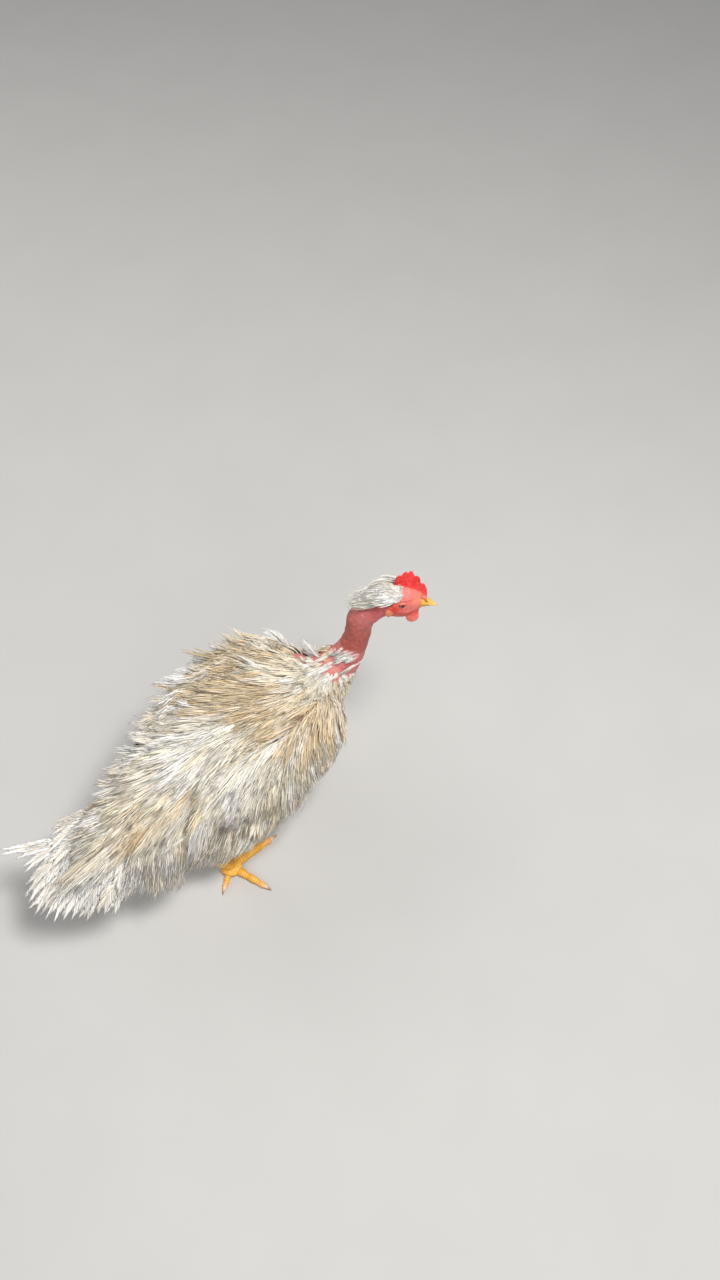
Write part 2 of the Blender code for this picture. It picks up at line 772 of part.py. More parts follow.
def feather_tail(coat):
    """A loose fan of tail feathers, a tier of coverts over it and the one long feather on the left."""
    for i in range(11):
        share = i / 5 - 1
        yaw = math.radians(17 * share)
        along = Vector((-math.cos(yaw), math.sin(yaw), -0.36 - 0.10 * share * share))
        root = Vector((-0.1480, 0.0150 * share - 0.002, 0.1880 - 0.006 * share * share))
        length = coat.vary(0.116 - 0.022 * share * share, 0.05)
        coat.place("tail", root, along, Vector((0.0, 0.35 * share, 1.0)), (length, 0.0185, 0.0016),
                   profile=ROUND_VANE, droop=0.05, sway=-0.10 * share, tilt=9.0)
    for i in range(8):
        share = i / 3.5 - 1
        yaw = math.radians(26 * share)
        along = Vector((-math.cos(yaw), math.sin(yaw), -0.30 - 0.25 * share * share))
        root = Vector((-0.1330, 0.0200 * share, 0.2090 - 0.014 * share * share))
        coat.place("tail", root, along, Vector((0.0, 0.6 * share, 1.0)), (coat.vary(0.070), 0.0210, 0.0022),
                   lift=6.0, droop=0.14, sway=coat.random.uniform(-0.12, 0.12), tilt=6.0)
    for i in range(7):
        share = i / 3 - 1
        yaw = math.radians(32 * share - 5)
        along = Vector((-math.cos(yaw), math.sin(yaw), -0.55))
        root = Vector((-0.1350, 0.0180 * share, 0.1760))
        coat.place("tail", root, along, Vector((0.0, 0.5 * share, -1.0)), (coat.vary(0.078), 0.0230, 0.0030),
                   lift=4.0, droop=0.12, sway=coat.random.uniform(-0.12, 0.12))
    coat.place("tail", Vector((-0.1480, 0.0160, 0.1860)), Vector((-1.0, 0.30, -0.36)), Vector((0.0, 0.2, 1.0)),
               (0.1260, 0.0120, 0.0016), profile=ROUND_VANE, lift=3.0, droop=-0.02, sway=-0.16)


WING_TIERS = (
    # the row's x, first and last turn round the body, count, length, width, thickness, share down, lift
    (0.108, 50.0, 90.0, 3, 0.042, 0.0250, 0.0034, 0.95, 15.0),
    (0.082, 38.0, 96.0, 5, 0.050, 0.0240, 0.0030, 0.85, 13.0),
    (0.050, 42.0, 100.0, 5, 0.054, 0.0220, 0.0026, 0.75, 10.0),
    (0.016, 46.0, 100.0, 5, 0.058, 0.0190, 0.0020, 0.65, 7.0),
    (-0.018, 50.0, 96.0, 5, 0.064, 0.0165, 0.0016, 0.55, 4.0),
)


def feather_wing(coat, side):
    """Tiers of the folded wing, from the small coverts of the shoulder to the long flight feathers."""
    sign = 1 if side == "left" else -1
    for x, first, last, count, length, width, thickness, down_share, lift in WING_TIERS:
        for i in range(count):
            turn = first + (last - first) * i / (count - 1)
            point, normal, along = lie_on_torso(x - 0.004 * i, turn * sign, down_share)
            coat.place(f"wing_{side}", point + normal * 0.0132, along, normal,
                       (coat.vary(length, 0.08), coat.vary(width, 0.08), thickness), lift=lift, droop=0.05,
                       sway=coat.random.uniform(-0.07, 0.07), tilt=8.0 * sign)


def feather_cap(coat):
    """The cap of feathers from behind the comb to the nape, longest down the middle."""
    place = head_matrix()
    turn = place.to_3x3()
    rows = (
        (0.0020, (42.0, 70.0), 0.0180),
        (-0.0060, (16.0, 46.0, 76.0), 0.0220),
        (-0.0140, (14.0, 44.0, 72.0), 0.0250),
        (-0.0195, (22.0, 56.0), 0.0240),
    )
    for forward, angles, length in rows:
        for angle in angles:
            for sign in (1, -1):
                tip = math.radians(angle * sign)
                share = skull_row(forward)
                root = Vector((forward, share[1] * math.sin(tip), share[2] * math.cos(tip)))
                normal = Vector((0.0, math.sin(tip), math.cos(tip)))
                along = Vector((-1.0, 0.28 * math.sin(tip), -0.10 - 0.22 * abs(math.sin(tip))))
                coat.place("head", place @ root, turn @ along, turn @ normal, (coat.vary(length, 0.15), 0.0100, 0.0022),
                           sink=0.0022, lift=12.0, droop=0.10, sway=coat.random.uniform(-0.15, 0.15))


TORSO_ROWS = (
    # the row's x, length, width, share down
    (0.1180, 0.0400, 0.0260, 0.85),
    (0.0900, 0.0500, 0.0300, 0.85),
    (0.0600, 0.0560, 0.0310, 0.85),
    (0.0300, 0.0580, 0.0310, 0.85),
    (0.0000, 0.0590, 0.0310, 0.85),
    (-0.0300, 0.0600, 0.0300, 0.85),
    (-0.0580, 0.0660, 0.0280, 0.90),
    (-0.0840, 0.0740, 0.0260, 0.95),
    (-0.1060, 0.0760, 0.0230, 0.80),
)


def feather_torso(coat):
    """Shaggy locks over the back, breast, flanks, belly and rump, in staggered rows."""
    for row, (x, length, width, down_share) in enumerate(TORSO_ROWS):
        step = 30.0
        turns = [step * (k + 0.5 * (row % 2)) - 180.0 for k in range(12)]
        for turn in turns:
            if 50.0 < abs(turn) < 104.0 and -0.055 < x < 0.100:
                continue
            if x > 0.1 and abs(turn + 20.0) < 40.0:
                continue
            turn += coat.random.uniform(-4.0, 4.0)
            point, normal, along = lie_on_torso(x, turn, down_share if abs(turn) < 150 else 0.2)
            if abs(turn) > 152.0 and row % 2 and x < 0.1:
                continue
            under = abs(turn) > 110.0 and x > -0.07
            shorter = 0.75 if under or (abs(turn) < 75.0 and x < -0.04) else 1.0
            coat.place("torso", point, along, normal,
                       (coat.vary(length) * shorter, coat.vary(width, 0.08), 0.0042),
                       lift=9.0 if under else 14.0, droop=0.05 if under else 0.18 if x > -0.07 else 0.30,
                       sway=coat.random.uniform(-0.14, 0.14), tilt=coat.random.uniform(-6.0, 6.0))


def feather_thigh(coat, side):
    """Locks that hang down and back round the thigh."""
    spec = LEGS[side]
    sign = 1 if side == "left" else -1
    line = [(*p, r) for p, r in zip(spec["thigh"], THIGH_RADII)]
    for row, share in enumerate((0.30, 0.56, 0.80)):
        middle, tangent, radius = line_point(line, share), line_tangent(line, share), through(line, share)[3]
        outward = Vector((0.0, sign, 0.0))
        outward = (outward - tangent * outward.dot(tangent)).normalized()
        around = tangent.cross(outward).normalized()
        for k in range(4):
            angle = math.radians(-100.0 + 62.0 * k + 31.0 * (row % 2))
            normal = outward * math.cos(angle) + around * math.sin(angle)
            along = tangent * 1.0 + DOWN * 0.35
            coat.place(f"thigh_{side}", middle + normal * radius * 0.96, along, normal,
                       (coat.vary(0.038), 0.0200 - 0.003 * row, 0.0034), lift=10.0, droop=0.10,
                       sway=coat.random.uniform(-0.12, 0.12))


def main():
    clear_scene()
    parts = new_collection("rooster")
    helpers = new_collection("helpers", hidden=True)

    torso = build_torso(parts, helpers)
    neck = build_neck(parts)
    nodes = build_head(parts, helpers)
    nodes.update({"torso": torso, "neck": neck})
    for side in ("left", "right"):
        nodes[f"wing_{side}"] = build_wing(side, parts, helpers, torso)
        nodes.update(build_leg(side, parts, helpers, torso))
    nodes["tail"] = build_tail(parts, helpers, torso)
    for side in ("left", "right"):
        cut_clear(nodes[f"thigh_{side}"], [nodes[f"wing_{side}"]], helpers)

    coat = Plumage(helpers)
    for name, obj in nodes.items():
        coat.add_solid(name, obj)
    feather_tail(coat)
    feather_cap(coat)
    for side in ("left", "right"):
        feather_wing(coat, side)
    feather_torso(coat)
    for side in ("left", "right"):
        feather_thigh(coat, side)
    for name, pieces in coat.pieces.items():
        fuse(nodes[name], pieces)

    root = bpy.data.objects.new("rooster_origin", None)
    parts.objects.link(root)
    root.location = -BOX_MIDDLE
    for name, obj in nodes.items():
        obj.parent = root
        obj.data.materials.clear()
        obj.data.materials.append(new_material(name))
        obj.data.shade_smooth()
        obj.data.set_sharp_from_angle(angle=math.radians(40))


main()
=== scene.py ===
"""The looks of the rooster: one skin with its comb, wattles and ear lobes, and a coat of separate feathers.

Lengths are metres. Everything is worked out about the point on the floor that part.py uses, and SHIFT moves it
to the frame's origin when a mesh is made. The coat is solid mesh: each feather is a thin blade with loose,
tapering strands of barbs over it, and its middle line follows the lie of the plumage over the skin.
"""

import math

import bpy
import numpy as np
from mathutils import Matrix, Vector
from mathutils.kdtree import KDTree


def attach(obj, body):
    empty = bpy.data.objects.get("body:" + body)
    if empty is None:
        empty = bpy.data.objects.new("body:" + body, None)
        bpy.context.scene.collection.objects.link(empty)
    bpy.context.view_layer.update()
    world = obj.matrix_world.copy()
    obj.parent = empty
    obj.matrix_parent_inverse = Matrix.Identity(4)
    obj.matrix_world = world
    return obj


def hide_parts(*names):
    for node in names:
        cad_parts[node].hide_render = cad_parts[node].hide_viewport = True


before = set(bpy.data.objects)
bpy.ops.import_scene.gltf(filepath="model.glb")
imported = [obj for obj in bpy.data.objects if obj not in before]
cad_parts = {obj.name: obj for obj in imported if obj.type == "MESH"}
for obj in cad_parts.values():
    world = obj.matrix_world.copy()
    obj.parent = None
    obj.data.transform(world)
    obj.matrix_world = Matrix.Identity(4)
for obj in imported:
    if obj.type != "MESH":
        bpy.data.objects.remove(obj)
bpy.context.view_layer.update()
SHIFT = np.array((0.0108, 0.0107, 0.0))
chance = np.random.default_rng(11)

# The camera: where it stands, its right, up and forward directions, its focal length and the picture's size in pixels.
EYE_POINT = np.array((-0.1607, -0.4146, 1.15))
CAMERA_RIGHT = np.array((0.7660, -0.6428, 0.0))
CAMERA_UP = np.array((0.5567, 0.6634, 0.5))
CAMERA_FORWARD = np.array((0.3214, 0.3830, -0.8660))
FOCAL = 1000.0
PICTURE = (720, 1280)

# Torso: x, half width, height of the back, height of the belly.
TORSO = (
    (0.1335, 0.0040, 0.1740, 0.1660),
    (0.1300, 0.0150, 0.1880, 0.1520),
    (0.1220, 0.0340, 0.2080, 0.1330),
    (0.1020, 0.0490, 0.2230, 0.1160),
    (0.0700, 0.0590, 0.2310, 0.1030),
    (0.0300, 0.0620, 0.2340, 0.0980),
    (-0.0100, 0.0600, 0.2340, 0.1010),
    (-0.0480, 0.0540, 0.2320, 0.1140),
    (-0.0800, 0.0440, 0.2290, 0.1350),
    (-0.1050, 0.0330, 0.2240, 0.1560),
    (-0.1220, 0.0250, 0.2180, 0.1700),
)
# Neck: middle line and radius, from inside the torso to inside the head.
NECK_LINE = (
    (0.0850, -0.0040, 0.1800, 0.0330),
    (0.1120, -0.0120, 0.1950, 0.0290),
    (0.1350, -0.0185, 0.2120, 0.0215),
    (0.1510, -0.0230, 0.2330, 0.0162),
    (0.1620, -0.0230, 0.2560, 0.0135),
    (0.1725, -0.0205, 0.2820, 0.0140),
    (0.1930, -0.0350, 0.3050, 0.0125),
)
HEAD_MIDDLE = (0.2020, -0.0420, 0.3090)
HEAD_ANGLES = (-36.0, 7.0, -18.0)
# The head's reach about its middle, and the height of its foot on the neck.
HEAD_REACH = 0.045
HEAD_FOOT = 0.262
# Skull: how far ahead, half width, height above the middle and depth below it.
SKULL = (
    (-0.0240, 0.0035, 0.0040, 0.0060),
    (-0.0212, 0.0092, 0.0100, 0.0120),
    (-0.0135, 0.0140, 0.0150, 0.0180),
    (-0.0035, 0.0150, 0.0170, 0.0200),
    (0.0065, 0.0138, 0.0162, 0.0195),
    (0.0140, 0.0112, 0.0136, 0.0170),
    (0.0195, 0.0084, 0.0106, 0.0140),
)
BEAK_ROOT = 0.0198
BEAK_LENGTH = 0.0200
BEAK_GAPE = 9.0
EYE_PLACE = (0.0000, 0.0113, 0.0020)
EYE_RADIUS = 0.0048
EAR_PLACE = (-0.0115, 0.0012)
# Root of the tail: x, middle, half width, half height, height above the floor.
TAIL_ROOT = (
    (-0.1120, 0.0000, 0.0260, 0.0230, 0.1940),
    (-0.1380, -0.0010, 0.0240, 0.0200, 0.1900),
    (-0.1550, -0.0020, 0.0220, 0.0140, 0.1840),
    (-0.1720, -0.0020, 0.0160, 0.0080, 0.1780),
    (-0.1850, -0.0020, 0.0080, 0.0040, 0.1730),
)
# Wing: x, turn about the torso in degrees, half height, half thickness.
WING = (
    (0.108, 70.0, 0.012, 0.006),
    (0.098, 72.0, 0.024, 0.011),
    (0.072, 74.0, 0.036, 0.013),
    (0.036, 76.0, 0.040, 0.013),
    (0.000, 76.0, 0.037, 0.012),
    (-0.034, 74.0, 0.028, 0.009),
    (-0.062, 72.0, 0.014, 0.006),
)
LEGS = {
    "right": {
        "thigh": ((0.0150, -0.0420, 0.1380), (-0.0350, -0.0500, 0.1120), (-0.0770, -0.0470, 0.0900)),
        "hock": (-0.0880, -0.0460, 0.0830),
        "foot": (-0.0580, -0.0560, 0.0085),
        "toes": {"inner": 44.0, "middle": -3.5, "outer": -70.0, "hind": -144.0},
    },
    "left": {
        "thigh": ((0.0700, 0.0420, 0.1400), (0.0360, 0.0450, 0.1080), (0.0130, 0.0400, 0.0850)),
        "hock": (0.0050, 0.0380, 0.0760),
        "foot": (0.0420, 0.0340, 0.0085),
        "toes": {"inner": -48.0, "middle": 2.0, "outer": 52.0, "hind": -168.0},
    },
}
THIGH_RADII = (0.0330, 0.0240, 0.0125)
SHANK_RADIUS = 0.0058
# Toes: length and radius.
TOES = {
    "inner": (0.0400, 0.0046),
    "middle": (0.0540, 0.0050),
    "outer": (0.0450, 0.0046),
    "hind": (0.0240, 0.0040),
}
TOE_STOUT = 1.13
PAD_RADIUS = 0.0130
CLAW_LENGTH = 0.0105
# Bare patches at the foot of the neck: middle and reach.
BARE = (
    (np.array((0.1185, 0.0125, 0.2150)), 0.0110),
    (np.array((0.1255, -0.0030, 0.2260)), 0.0080),
    (np.array((0.1262, -0.0262, 0.2285)), 0.0125),
)
# Limits of the coat: its least height above the floor, how far back it reaches, the place on the left where marching
# feathers are held in, and the place where all of them are.
LOWEST = 0.004
REARMOST = -0.247
LEFT_HOLD = 0.090
LEFT_EDGE = 0.094
# How far off the skin feathers are still drawn back to it, and how deep they are rooted in it.
WRAP_REACH = 0.022
ROOT_DEPTH = 0.003
BAKE_PATCH = 0.003
THINNING = 1.0
# Voxels of the skin under the coat, of the bare skin and of the legs.
COAT_VOXEL, BARE_VOXEL, LEG_VOXEL = ((0.0018, 0.00068, 0.00055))


# Small tools.


def paint(red, green, blue):
    """A colour given as it looks on a screen, from 0 to 255, made linear."""
    c = np.array((red, green, blue)) / 255.0
    return np.where(c <= 0.04045, c / 12.92, ((c + 0.055) / 1.055) ** 2.4)


WHITE = paint(241, 241, 239)
CREAM = paint(236, 226, 204)
BUFF = paint(226, 206, 168)
TAN = paint(203, 176, 138)


def unit(v):
    """Vectors of length 1 along vectors."""
    return v / np.maximum(np.linalg.norm(v, axis=-1, keepdims=True), 1e-9)


def dot(a, b):
    """Products of vectors, with their last axis kept."""
    return np.sum(a * b, axis=-1, keepdims=True)


def smooth(low, high, value):
    """0 at low, 1 at high, and an even curve between them."""
    t = np.clip((value - low) / (high - low), 0.0, 1.0)
    return t * t * (3 - 2 * t)


def blend(a, b, share):
    """Colours or vectors a share of the way from a to b."""
    share = np.asarray(share)
    share = share[..., None] if share.ndim else share
    return a + (b - a) * share


def circle(count):
    """Angles once round."""
    return np.linspace(0, 2 * math.pi, count, endpoint=False)


def spline(rows, place):
    """Rows of numbers on a smooth curve through them, at places from 0 to 1."""
    rows = np.asarray(rows, float)
    reach = np.clip(np.asarray(place, float), 0.0, 1.0) * (len(rows) - 1)
    at = np.minimum(reach.astype(int), len(rows) - 2)
    t = (reach - at)[..., None]
    p, q, r, s = (rows[np.clip(at + k, 0, len(rows) - 1)] for k in (-1, 0, 1, 2))
    return q + 0.5 * ((r - p) * t + (2 * p - 5 * q + 4 * r - s) * t * t + (3 * q - p - 3 * r + s) * t ** 3)


def noise(points, size, seed):
    """Soft random values from -1 to 1 in space, with lumps of a size."""
    p = np.asarray(points) / size + seed * 17.31
    cell = np.floor(p).astype(np.int64)
    f = p - cell
    f = f * f * (3 - 2 * f)
    total = np.zeros(p.shape[:-1])
    for dx in (0, 1):
        for dy in (0, 1):
            for dz in (0, 1):
                c = cell + (dx, dy, dz)
                h = (c[..., 0] * 73856093) ^ (c[..., 1] * 19349663) ^ (c[..., 2] * 83492791)
                h = (h ^ (h >> 13)) * 1274126177
                value = ((h ^ (h >> 16)) & 0xFFFF) / 32767.5 - 1
                weight = np.ones(p.shape[:-1])
                for axis, d in enumerate((dx, dy, dz)):
                    weight = weight * (f[..., axis] if d else 1 - f[..., axis])
                total += value * weight
    return total


def spot(across, down, height):
    """The point at a height above the floor that the picture shows at a place in it."""
    a, b = (across - PICTURE[0] / 2) / FOCAL, (PICTURE[1] / 2 - down) / FOCAL
    ray = CAMERA_FORWARD + CAMERA_RIGHT * a + CAMERA_UP * b
    return EYE_POINT + ray * ((height - EYE_POINT[2]) / ray[2]) - SHIFT


# Meshes from arrays.


def new_mesh(name, verts, faces, material=None, tint=None, patch=None):
    """An object from arrays of vertices and of triangles or quads, with a colour and a place in the bake for each."""
    mesh = bpy.data.meshes.new(name)
    mesh.vertices.add(len(verts))
    mesh.vertices.foreach_set("co", (verts + SHIFT).astype(np.float32).ravel())
    corners = faces.ravel().astype(np.int32)
    mesh.loops.add(len(corners))
    mesh.loops.foreach_set("vertex_index", corners)
    mesh.polygons.add(len(faces))
    mesh.polygons.foreach_set("loop_start", np.arange(0, len(corners), faces.shape[1], dtype=np.int32))
    mesh.update(calc_edges=True)
    mesh.shade_smooth()
    if tint is not None:
        layer = mesh.color_attributes.new("tint", "FLOAT_COLOR", "POINT")
        tint = np.concatenate([tint, np.ones((len(tint), 1))], axis=1)
        layer.data.foreach_set("color", tint.astype(np.float32).ravel())
    if patch is not None:
        layer = mesh.uv_layers.new(name="OFBake")
        layer.data.foreach_set("uv", patch[corners].astype(np.float32).ravel())
    obj = bpy.data.objects.new(name, mesh)
    bpy.context.scene.collection.objects.link(obj)
    if material:
        mesh.materials.append(material)
    return obj


def read_mesh(obj):
    """The evaluated vertices and quads of an object, back about the builder's own point."""
    graph = bpy.context.evaluated_depsgraph_get()
    mesh = obj.evaluated_get(graph).to_mesh()
    verts = np.empty(len(mesh.vertices) * 3, np.float32)
    mesh.vertices.foreach_get("co", verts)
    faces = np.empty(len(mesh.loops), np.int32)
    mesh.loops.foreach_get("vertex_index", faces)
    obj.evaluated_get(graph).to_mesh_clear()
    return verts.reshape(-1, 3).astype(float) - SHIFT, faces.reshape(-1, 4)


def mesh_normals(verts, faces):
    """Normals at the vertices of a mesh of triangles or quads."""
    a, b = verts[faces[:, 2]] - verts[faces[:, 0]], verts[faces[:, -1]] - verts[faces[:, 1]]
    across = np.cross(a, b)
    total = np.zeros_like(verts)
    for k in range(faces.shape[1]):
        np.add.at(total, faces[:, k], across)
    return unit(total)


class Solids:
    """Closed shells gathered for one voxel union."""

    def __init__(self):
        self.verts, self.faces, self.count = [], [], 0

    def loft(self, rings):
        """Rings of points from one end to the other, closed by a fan at each end."""
        rings = np.asarray(rings)
        rows, sides = rings.shape[:2]
        verts = np.concatenate([rings.reshape(-1, 3), rings[0].mean(0)[None], rings[-1].mean(0)[None]])
        i = np.arange(sides)
        j = (i + 1) % sides
        faces = []
        for r in range(rows - 1):
            a, b = r * sides, (r + 1) * sides
            faces.append(np.stack([a + i, a + j, b + j], 1))
            faces.append(np.stack([a + i, b + j, b + i], 1))
        first, last = rows * sides, rows * sides + 1
        faces.append(np.stack([np.full(sides, first), j, i], 1))
        faces.append(np.stack([np.full(sides, last), (rows - 1) * sides + i, (rows - 1) * sides + j], 1))
        self.verts.append(verts)
        self.faces.append(np.concatenate(faces) + self.count)
        self.count += len(verts)

    def egg(self, middle, radii, turn=None, place=None, rows=14, sides=24):
        """A rounded lump, turned by a matrix and put in place by another."""
        a = np.linspace(0.06, math.pi - 0.06, rows)[:, None]
        b = circle(sides)[None]
        rings = np.stack([np.sin(a) * np.cos(b), np.sin(a) * np.sin(b), np.cos(a) + 0 * b], -1) * radii
        if turn is not None:
            rings = rings @ turn.T
        rings = rings + middle
        self.loft(rings if place is None else place(rings))

    def tube(self, points, radii, sides, shape=None):
        """A round tube along points; shape changes each radius by ring and angle."""
        points = np.asarray(points)
        tangent = unit(np.gradient(points, axis=0))
        right = np.array((0.0, -1.0, 0.0))
        side = unit(right - tangent * dot(tangent, right))
        up = np.cross(side, tangent)
        angle = circle(sides)
        radius = np.asarray(radii)[:, None] * np.ones(sides)
        if shape is not None:
            radius = radius * shape
        aside, above = (np.cos(angle) * radius)[..., None], (np.sin(angle) * radius)[..., None]
        self.loft(points[:, None] + side[:, None] * aside + up[:, None] * above)

    def union(self, voxel, rounds):
        """The outer surface of all shells as one even mesh."""
        verts, faces = np.concatenate(self.verts), np.concatenate(self.faces)
        obj = new_mesh("union", verts, faces)
        modifier = obj.modifiers.new("voxels", "REMESH")
        modifier.mode = "VOXEL"
        modifier.voxel_size = voxel
        modifier = obj.modifiers.new("even", "SMOOTH")
        modifier.iterations = rounds
        modifier.factor = 0.5
        made = read_mesh(obj)
        mesh = obj.data
        bpy.data.objects.remove(obj)
        bpy.data.meshes.remove(mesh)
        return made


# Places on the body.


_place = np.linspace(0, 1, 600)
_torso_rows = spline(TORSO, _place)[::-1]


def torso_point(x, turn):
    """Points of the torso's surface. turn is in radians from the back, left side positive."""
    x, turn = np.broadcast_arrays(np.asarray(x, float), np.asarray(turn, float))
    width, top, bottom = (np.interp(x, _torso_rows[:, 0], _torso_rows[:, k]) for k in (1, 2, 3))
    middle = bottom + (top - bottom) * 0.52
    height = np.where(np.cos(turn) > 0, top - middle, middle - bottom)
    return np.stack([x, width * np.sin(turn), middle + height * np.cos(turn)], -1)


def torso_frame(x, turn):
    """Points of the torso's surface, their normals, and the ways up towards the back."""
    point = torso_point(x, turn)
    across = unit(torso_point(x, turn + 0.035) - torso_point(x, turn - 0.035))
    along = unit(torso_point(x - 0.004, turn) - torso_point(x + 0.004, turn))
    normal = unit(np.cross(along, across))
    middle = np.stack([point[..., 0], 0 * point[..., 0], 0 * point[..., 0] + 0.17], -1)
    normal = np.where(dot(normal, point - middle) < 0, -normal, normal)
    return point, normal, np.where(point[..., 1:2] >= 0, across, -across)


_turn, _dip, _roll = (math.radians(a) for a in HEAD_ANGLES)
HEAD = (Matrix.Translation(HEAD_MIDDLE) @ Matrix.Rotation(_turn, 4, "Z") @ Matrix.Rotation(_dip, 4, "Y")
        @ Matrix.Rotation(_roll, 4, "X"))
HEAD_TURN = np.array(HEAD.to_3x3())
HEAD_ORIGIN = np.array(HEAD.translation)


def from_head(p):
    """Places given about the head's middle, in the whole bird's directions."""
    return np.asarray(p) @ HEAD_TURN.T + HEAD_ORIGIN


def to_head(p):
    """Places of the whole bird, about the head's middle: ahead, to the left and up."""
    return (np.asarray(p) - HEAD_ORIGIN) @ HEAD_TURN


def is_head(p):
    """A mask of the points on the head."""
    return (np.linalg.norm(to_head(p), axis=1) < HEAD_REACH) & (p[:, 2] > HEAD_FOOT)


_neck = spline(NECK_LINE, np.linspace(0, 1, 80))


def on_neck(p):
    """The nearest place along the neck, from 0 to 1, and the distance outside its round surface."""
    gaps = np.linalg.norm(p[:, None] - _neck[None, :, :3], axis=-1) - _neck[None, :, 3]
    at = np.argmin(gaps, axis=1)
    return at / (len(_neck) - 1.0), gaps[np.arange(len(p)), at]


def thigh_line(side, count):
    """Rows of the middle line of a thigh, with its radius."""
    rows = [(*p, r) for p, r in zip(LEGS[side]["thigh"], THIGH_RADII)]
    return spline(rows, np.linspace(0, 1, count))


# The skin.


def comb_height(forward):
    """The height of the comb's notched top edge above the middle of the head."""
    s = np.clip((forward + 0.0085) / 0.0345, 0.0, 1.0)
    crest = 0.0110 + 0.0245 * np.sin(math.pi * np.minimum(1.0, 0.22 + 0.78 * s)) ** 0.8
    point = np.abs(np.sin((s ** 0.9 * 5.0) * math.pi)) ** 0.62
    return crest - 0.0050 * (1 - point) * np.sin(math.pi * np.clip(s, 0.04, 0.98)) ** 0.3


def add_comb(solids):
    """The single comb: a fleshy blade with five points that leans a little and waves along its length."""
    forward = np.linspace(-0.0078, 0.0262, 70)
    low = np.interp(forward, (-0.008, 0.012, 0.020, 0.0262), (0.0085, 0.0085, 0.0040, 0.0005))
    top = np.maximum(comb_height(forward), low + 0.0012)
    rows = []
    for f, a, b in zip(forward, low, top):
        ring = []
        for side in (1, -1):
            order = np.linspace(0, 1, 12)
            for t in (order if side > 0 else order[::-1]):
                z = a + (b - a) * t
                half = 0.0031 * (1 - t) ** 1.5 + 0.0013 * (1 - t ** 6) + 0.00035
                lean = 0.0016 * t * t * math.sin(f * 260.0) - 0.0022 * t * t
                ring.append((f, side * half + lean, z))
        rows.append(ring)
    solids.loft(from_head(rows))


# Brow, cheek, the swelling behind the eye, the corner of the mouth and the jaw: middle and radii.
FACE_LUMPS = (
    ((0.0010, 0.0128, 0.0078), (0.0082, 0.0023, 0.0020)),
    ((0.0040, 0.0100, -0.0064), (0.0085, 0.0042, 0.0050)),
    ((-0.0065, 0.0118, -0.0010), (0.0050, 0.0034, 0.0070)),
    ((0.0172, 0.0062, -0.0052), (0.0046, 0.0022, 0.0030)),
    ((0.0100, 0.0050, -0.0135), (0.0110, 0.0034, 0.0050)),
)


def add_head(solids):
    """The skull, and the soft forms of the face on both sides."""
    rows = spline(SKULL, np.linspace(0, 1, 40))
    angle = circle(40)
    rings = []
    for forward, width, top, bottom in rows:
        height = np.where(np.sin(angle) > 0, top, bottom)
        rings.append(np.stack([0 * angle + forward, width * np.cos(angle), height * np.sin(angle)], -1))
    solids.loft(from_head(np.stack(rings)))
    eye = np.array(EYE_PLACE)
    for sign in (1, -1):
        flip = np.array((1, sign, 1))
        tilt = np.array(Matrix.Rotation(math.radians(-9 * sign), 3, "Z"))
        for middle, radii in FACE_LUMPS:
            solids.egg(middle * flip, radii, tilt, from_head)
        # The rim of the ear, the ear lobe, and the wattle with its neck.
        for a in circle(39):
            place = (EAR_PLACE[0] + 0.0026 * math.cos(a), 0.0141 * sign, EAR_PLACE[1] + 0.0030 * math.sin(a))
            solids.egg(place, (0.0009, 0.0008, 0.0009), None, from_head, 6, 8)
        solids.egg((-0.0115, 0.0126 * sign, -0.0084), (0.0044, 0.0024, 0.0054), tilt, from_head)
        solids.egg((0.0140, 0.0060 * sign, -0.0182), (0.0070, 0.0022, 0.0068),
                   np.array(Matrix.Rotation(math.radians(8 * sign), 3, "X")), from_head)
        solids.egg((0.0128, 0.0058 * sign, -0.0150), (0.0060, 0.0026, 0.0050), None, from_head)
        solids.egg(eye * flip, (0.0056, 0.0029, 0.0052), tilt, from_head)
    # The loose skin of the throat.
    solids.egg((0.0010, 0.0, -0.0190), (0.0130, 0.0030, 0.0050), None, from_head)
    add_comb(solids)


def body_solids():
    """The flesh as closed shells that overlap: torso, folded neck, thighs, wings, root of the tail, and head."""
    solids = Solids()
    x = spline(TORSO, np.linspace(0, 1, 60))[:, 0]
    solids.loft(torso_point(x[:, None], circle(56)[None]))
    angle = circle(28)
    folds = 1 + 0.020 * np.sin(np.linspace(0, 74, 80))[:, None] * (0.6 + 0.4 * np.cos(angle * 3))
    solids.tube(_neck[:, :3], _neck[:, 3], 28, shape=folds)
    for side, sign in (("left", 1), ("right", -1)):
        line = thigh_line(side, 30)
        start = unit(line[0, :3] - line[1, :3])
        cap = [line[0, :3] + start * THIGH_RADII[0] * math.sin(a) for a in np.radians((80, 60, 40, 20))]
        radii = [THIGH_RADII[0] * math.cos(a) for a in np.radians((80, 60, 40, 20))]
        hock = np.array(LEGS[side]["hock"])
        solids.tube(np.concatenate([cap, line[:, :3], [line[-1, :3] * 0.5 + hock * 0.5, hock]]),
                    np.concatenate([radii, line[:, 3], [0.0094, 0.0062]]), 28)
        rings = []
        for x, turn, tall, thick in spline(WING, np.linspace(0, 1, 36)):
            point, normal, across = torso_frame(x, math.radians(turn) * sign)
            above, out = (tall * np.cos(angle))[:, None], (0.002 + thick * np.sin(angle))[:, None]
            rings.append(point + across * above + normal * out)
        solids.loft(np.stack(rings))
    rings = []
    for x, middle, width, tall, height in spline(TAIL_ROOT, np.linspace(0, 1, 24)):
        rings.append(np.stack([0 * angle + x, middle + width * np.cos(angle), height + tall * np.sin(angle)], -1))
    solids.loft(np.stack(rings))
    add_head(solids)
    return solids


# Where the fine skin of the neck and head ends, and how far the coarse skin reaches past it.
FRONT_CUT = 0.0880
OVERLAP = 0.003


